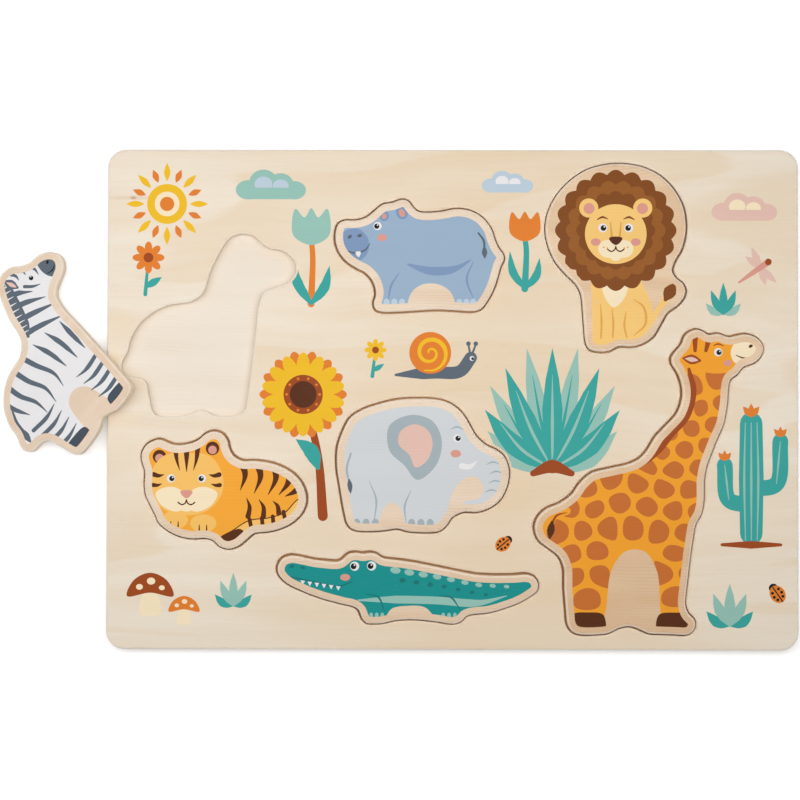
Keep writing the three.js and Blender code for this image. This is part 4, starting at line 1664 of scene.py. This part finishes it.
    def snail(self, x: float, y: float, size: float) -> None:
        """Draw a snail creeping to the right."""
        sole = placed(((-0.62, 0.02), (0.0, 0.06), (0.42, 0.08), (0.6, 0.3)), x, y, size)
        self.line(Ink.SLATE, sole, [0.04 * size, 0.2 * size, 0.2 * size, 0.2 * size])
        for dx in (0.56, 0.68):
            self.line(Ink.SLATE, [sole[-1], (x + size * dx, y + 0.52 * size)], [1.6, 1.2])
            self.spot(Ink.SLATE, x + size * dx, y + 0.53 * size, 1.5)
        self.spot(Ink.ORANGE, x - 0.06 * size, y + 0.38 * size, 0.34 * size)
        turns = [(x - 0.06 * size + r * size * math.cos(a), y + 0.38 * size + r * size * math.sin(a))
                 for a, r in ((4.4 + 0.55 * i, 0.3 - 0.0135 * i) for i in range(21))]
        self.line(Ink.YELLOW, turns, [0.02 * size, 0.07 * size, 0.06 * size, 0.03 * size])
        self.eye(x + size * 0.62, y + 0.29 * size, 1.6)

    def dragonfly(self, x: float, y: float, size: float, turn: float) -> None:
        """Draw a dragonfly seen from above."""
        cos, sin = heading(turn)
        for off, length in ((78, 0.6), (108, 0.5), (-78, 0.6), (-108, 0.5)):
            self.blade(Ink.PINK, x, y, size * length, turn + off, size * 0.2)
        tail = (x - cos * size * 0.7, y - sin * size * 0.7)
        head = (x + cos * size * 0.2, y + sin * size * 0.2)
        self.line(Ink.ROSE, [tail, (x, y), head], [1.4, 3.2, 4.2])
        self.spot(Ink.BROWN, head[0] + cos * 1.6, head[1] + sin * 1.6, 2.2)

    def ladybird(self, x: float, y: float, size: float, turn: float) -> None:
        """Draw a ladybird seen from above, its head towards turn degrees."""
        ahead = np.array(heading(turn))
        aside = np.array((-ahead[1], ahead[0]))
        middle = np.array((x, y))
        self.spot(Ink.BLACK, *(middle + ahead * size * 0.8), size * 0.5)
        self.spot(Ink.ORANGE, x, y, size, size * 0.82, turn)
        seam = [tuple(middle + ahead * size * 0.9), tuple(middle - ahead * size * 0.95)]
        self.line(Ink.BLACK, seam, [0.8, 0.8])
        for along, across in ((0.42, 0.4), (-0.06, 0.48), (-0.5, 0.34)):
            for side in (-1, 1):
                dot = middle + (ahead * along + aside * across * side) * size
                self.spot(Ink.BLACK, *dot, size * 0.16)

    def draw(self) -> None:
        """Lay the motifs out round the recesses."""
        self.sun(-186, 127, 13)
        self.cloud(-118, 136, 15, Ink.LIGHT_TEAL, Ink.SKY)
        self.cloud(36, 139, 11, Ink.SKY, Ink.WHITE)
        self.cloud(190, 122, 14, Ink.PINK, Ink.CREAM)
        self.daisy(-198, 92, 10, Ink.ORANGE, 24)
        self.tulip(-92, 62, 62, Ink.LIGHT_TEAL, Ink.ORANGE)
        self.sunflower(-97, 3, 29, (-84, -76))
        self.snail(-12, 15, 40)
        self.agave(65, -45, 78)
        self.tulip(47, 72, 50, Ink.ORANGE, Ink.TEAL)
        self.sprout(176, 56, 18, Ink.TEAL, Ink.LIGHT_TEAL)
        self.dragonfly(200, 86, 24, 35)
        self.cactus(194, -94, 86)
        self.sprout(180, -146, 24, Ink.LIGHT_TEAL, Ink.TEAL)
        self.ladybird(211, -126, 6, 125)
        self.mushroom(-196, -140, 27, Ink.BROWN, Ink.CREAM)
        self.mushroom(-174, -146, 18, Ink.ORANGE, Ink.CREAM)
        self.sprout(-142, -134, 19, Ink.LIGHT_TEAL, Ink.TEAL)
        self.daisy(-50, 32, 7, Ink.YELLOW, 17)
        self.ladybird(33, -94, 5.4, 40)


@dataclass
class Board:
    """The board: a base panel and, glued on it, the printed panel with the recesses.

    Attributes:
        body: the body that both panels ride on.
        gap_tint_out: how far the painted warm tint of the shade in a seated piece's saw gap reaches outwards
            from the piece.
        gap_tint_in: how far it reaches under the piece.
    """

    body: str = "board"
    gap_tint_out: float = 1.6
    gap_tint_in: float = 0.8

    def _panel(self, node: str, wood: Wood, marks: list[Mark], workshop: Workshop) -> None:
        """Make one panel in place of its CAD node.

        Args:
            node: name of the node.
            wood: its cut of plywood.
            marks: what lies on its upper face: print, and on the base panel the painted warm tint of the gap
                shade.
            workshop: where the materials come from.
        """
        panel = Plate.read(node).build(f"{node}_sheet", wood, marks, workshop)
        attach(panel, self.body)
        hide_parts(node)
        LOG.info("%s: %d faces, %d marks", panel.name, len(panel.data.polygons), len(marks))

    def _gap_shade_tint(self) -> list[Mark]:
        """Return the marks of a painted warm tint on the base panel in the saw gaps round the seated pieces,
        for the brown shade there.
        """
        sketch = Sketch()
        for node in SEATED:
            outline = Plate.read(node).loops[0]
            # Painted shade: a warm tint ring on the base panel under each saw gap
            sketch.add(Ink.GAP_SHADE_TINT, moved(outline, -self.gap_tint_out))
            sketch.add(Ink.BARE, moved(outline, self.gap_tint_in))
        return sketch.marks

    def build(self, workshop: Workshop) -> None:
        """Make both panels."""
        scenery = Scenery()
        scenery.draw()
        self._panel("base_panel", Wood.BASE, self._gap_shade_tint(), workshop)
        self._panel("cutout_panel", Wood.BOARD, scenery.marks, workshop)


# Studio


@dataclass
class Studio:
    """A white floor, soft light from overhead, and the camera almost straight above.

    Attributes:
        camera_place: in metres.
        camera_turn: tilt, pan and roll in degrees; at nought it looks straight down with +Y up.
        lens: focal length in millimetres.
        picture_width: width of the picture behind the lens, in millimetres.
        key_place: where the large far lamp hangs, in metres.
        key_size: its length and width.
        key_power: in watts.
        near_place: where the long near lamp hangs; the board is a little brighter under it.
        near_size: its length and width.
        near_power: in watts.
        sky: strength of the even light from all round.
        floor_lift: white added to the floor where the camera sees it.
        floor_fade: distances from the board between which the floor turns into the white backdrop.
        floor_half: half the floor's width, in metres.
        floor_drop: how far the floor lies under the puzzle, in metres.
        floor_white: brightness of the floor's paper.
        floor_roughness: roughness of the floor's paper.
    """

    camera_place: Triple = (-0.02625, -0.02041, 1.23655)
    camera_turn: Triple = (0.93, 0.36, 0.11)
    lens: float = 85.0
    picture_width: float = 36.0
    key_place: Triple = (1.6, -1.2, 3.2)
    key_size: tuple[float, float] = (2.6, 2.6)
    key_power: float = 13.0
    near_place: Triple = (-0.2, 0.09, 0.62)
    near_size: tuple[float, float] = (1.3, 0.3)
    near_power: float = 3.7
    sky: float = 0.33
    floor_lift: float = 0.3
    floor_fade: tuple[float, float] = (0.27, 0.46)
    floor_half: float = 4.0
    floor_drop: float = 0.2 * MM
    floor_white: float = 0.96
    floor_roughness: float = 0.9

    def _camera(self) -> None:
        """Set the camera up."""
        data = bpy.data.cameras.new("camera")
        data.lens = self.lens
        data.sensor_width = self.picture_width
        camera = bpy.data.objects.new("camera", data)
        camera.location = self.camera_place
        camera.rotation_euler = [math.radians(angle) for angle in self.camera_turn]
        bpy.context.scene.collection.objects.link(camera)
        bpy.context.scene.camera = camera

    def _lamp(self, name: str, place: Triple, size: tuple[float, float], power: float) -> None:
        """Hang a soft lamp that shines down.

        Args:
            name: name of the lamp.
            place: where it hangs, in metres.
            size: its length and width.
            power: in watts.
        """
        data = bpy.data.lights.new(name, "AREA")
        data.shape = "RECTANGLE"
        data.size, data.size_y = size
        data.energy = power
        lamp = bpy.data.objects.new(name, data)
        lamp.location = place
        lamp.visible_camera = False
        bpy.context.scene.collection.objects.link(lamp)

    @staticmethod
    def _seen(graph: Graph) -> Socket:
        """Return one where the camera, a reflection or glass looks, and nought where light is gathered."""
        path = graph.add("ShaderNodeLightPath").outputs
        seen = graph.maths("MAXIMUM", path["Is Camera Ray"], path["Is Glossy Ray"])
        return graph.maths("MAXIMUM", seen, path["Is Transmission Ray"])

    def _world(self) -> None:
        """Give an even white light, and a white background to the camera."""
        world = bpy.data.worlds.new("studio")
        world.use_nodes = True
        bpy.context.scene.world = world
        graph = Graph(world.node_tree)
        strength = graph.between(self._seen(graph), self.sky, 1.0)
        background = world.node_tree.nodes["Background"]
        background.inputs["Color"].default_value = (1, 1, 1, 1)
        graph.tree.links.new(strength, background.inputs["Strength"])

    def _floor(self) -> None:
        """Lay a white floor that keeps the shadows."""
        mesh = bpy.data.meshes.new("floor")
        half, low = self.floor_half, -self.floor_drop
        corners = [(-half, -half, low), (half, -half, low), (half, half, low), (-half, half, low)]
        mesh.from_pydata(corners, [], [(0, 1, 2, 3)])
        floor = bpy.data.objects.new("floor", mesh)
        bpy.context.scene.collection.objects.link(floor)
        material = bpy.data.materials.new("floor_paper")
        material.use_nodes = True
        shader = material.node_tree.nodes["Principled BSDF"]
        shader.inputs["Base Color"].default_value = (*[self.floor_white] * 3, 1)
        shader.inputs["Roughness"].default_value = self.floor_roughness
        shader.inputs["Specular IOR Level"].default_value = 0.0
        shader.inputs["Emission Color"].default_value = (1, 1, 1, 1)
        graph = Graph(material.node_tree)
        away = graph.length(graph.add("ShaderNodeNewGeometry").outputs["Position"])
        lift = graph.between(graph.ramp(away, *self.floor_fade), self.floor_lift, 1.0)
        lift = graph.maths("MULTIPLY", self._seen(graph), lift)
        graph.tree.links.new(lift, shader.inputs["Emission Strength"])
        mesh.materials.append(material)

    def build(self) -> None:
        """Set up the floor, the light and the camera."""
        bpy.context.scene.view_settings.view_transform = "Standard"
        self._floor()
        self._world()
        self._lamp("key", self.key_place, self.key_size, self.key_power)
        self._lamp("near", self.near_place, self.near_size, self.near_power)
        self._camera()


def main() -> None:
    """Build the puzzle and the studio round it."""
    logging.basicConfig(level=logging.INFO, format="%(name)s: %(message)s")
    workshop = Workshop()
    Board().build(workshop)
    for animal in (Zebra(), Hippo(), Lion(), Tiger(), Elephant(), Crocodile(), Giraffe()):
        animal.build(workshop)
    Studio().build()


if __name__ == "__main__":
    main()
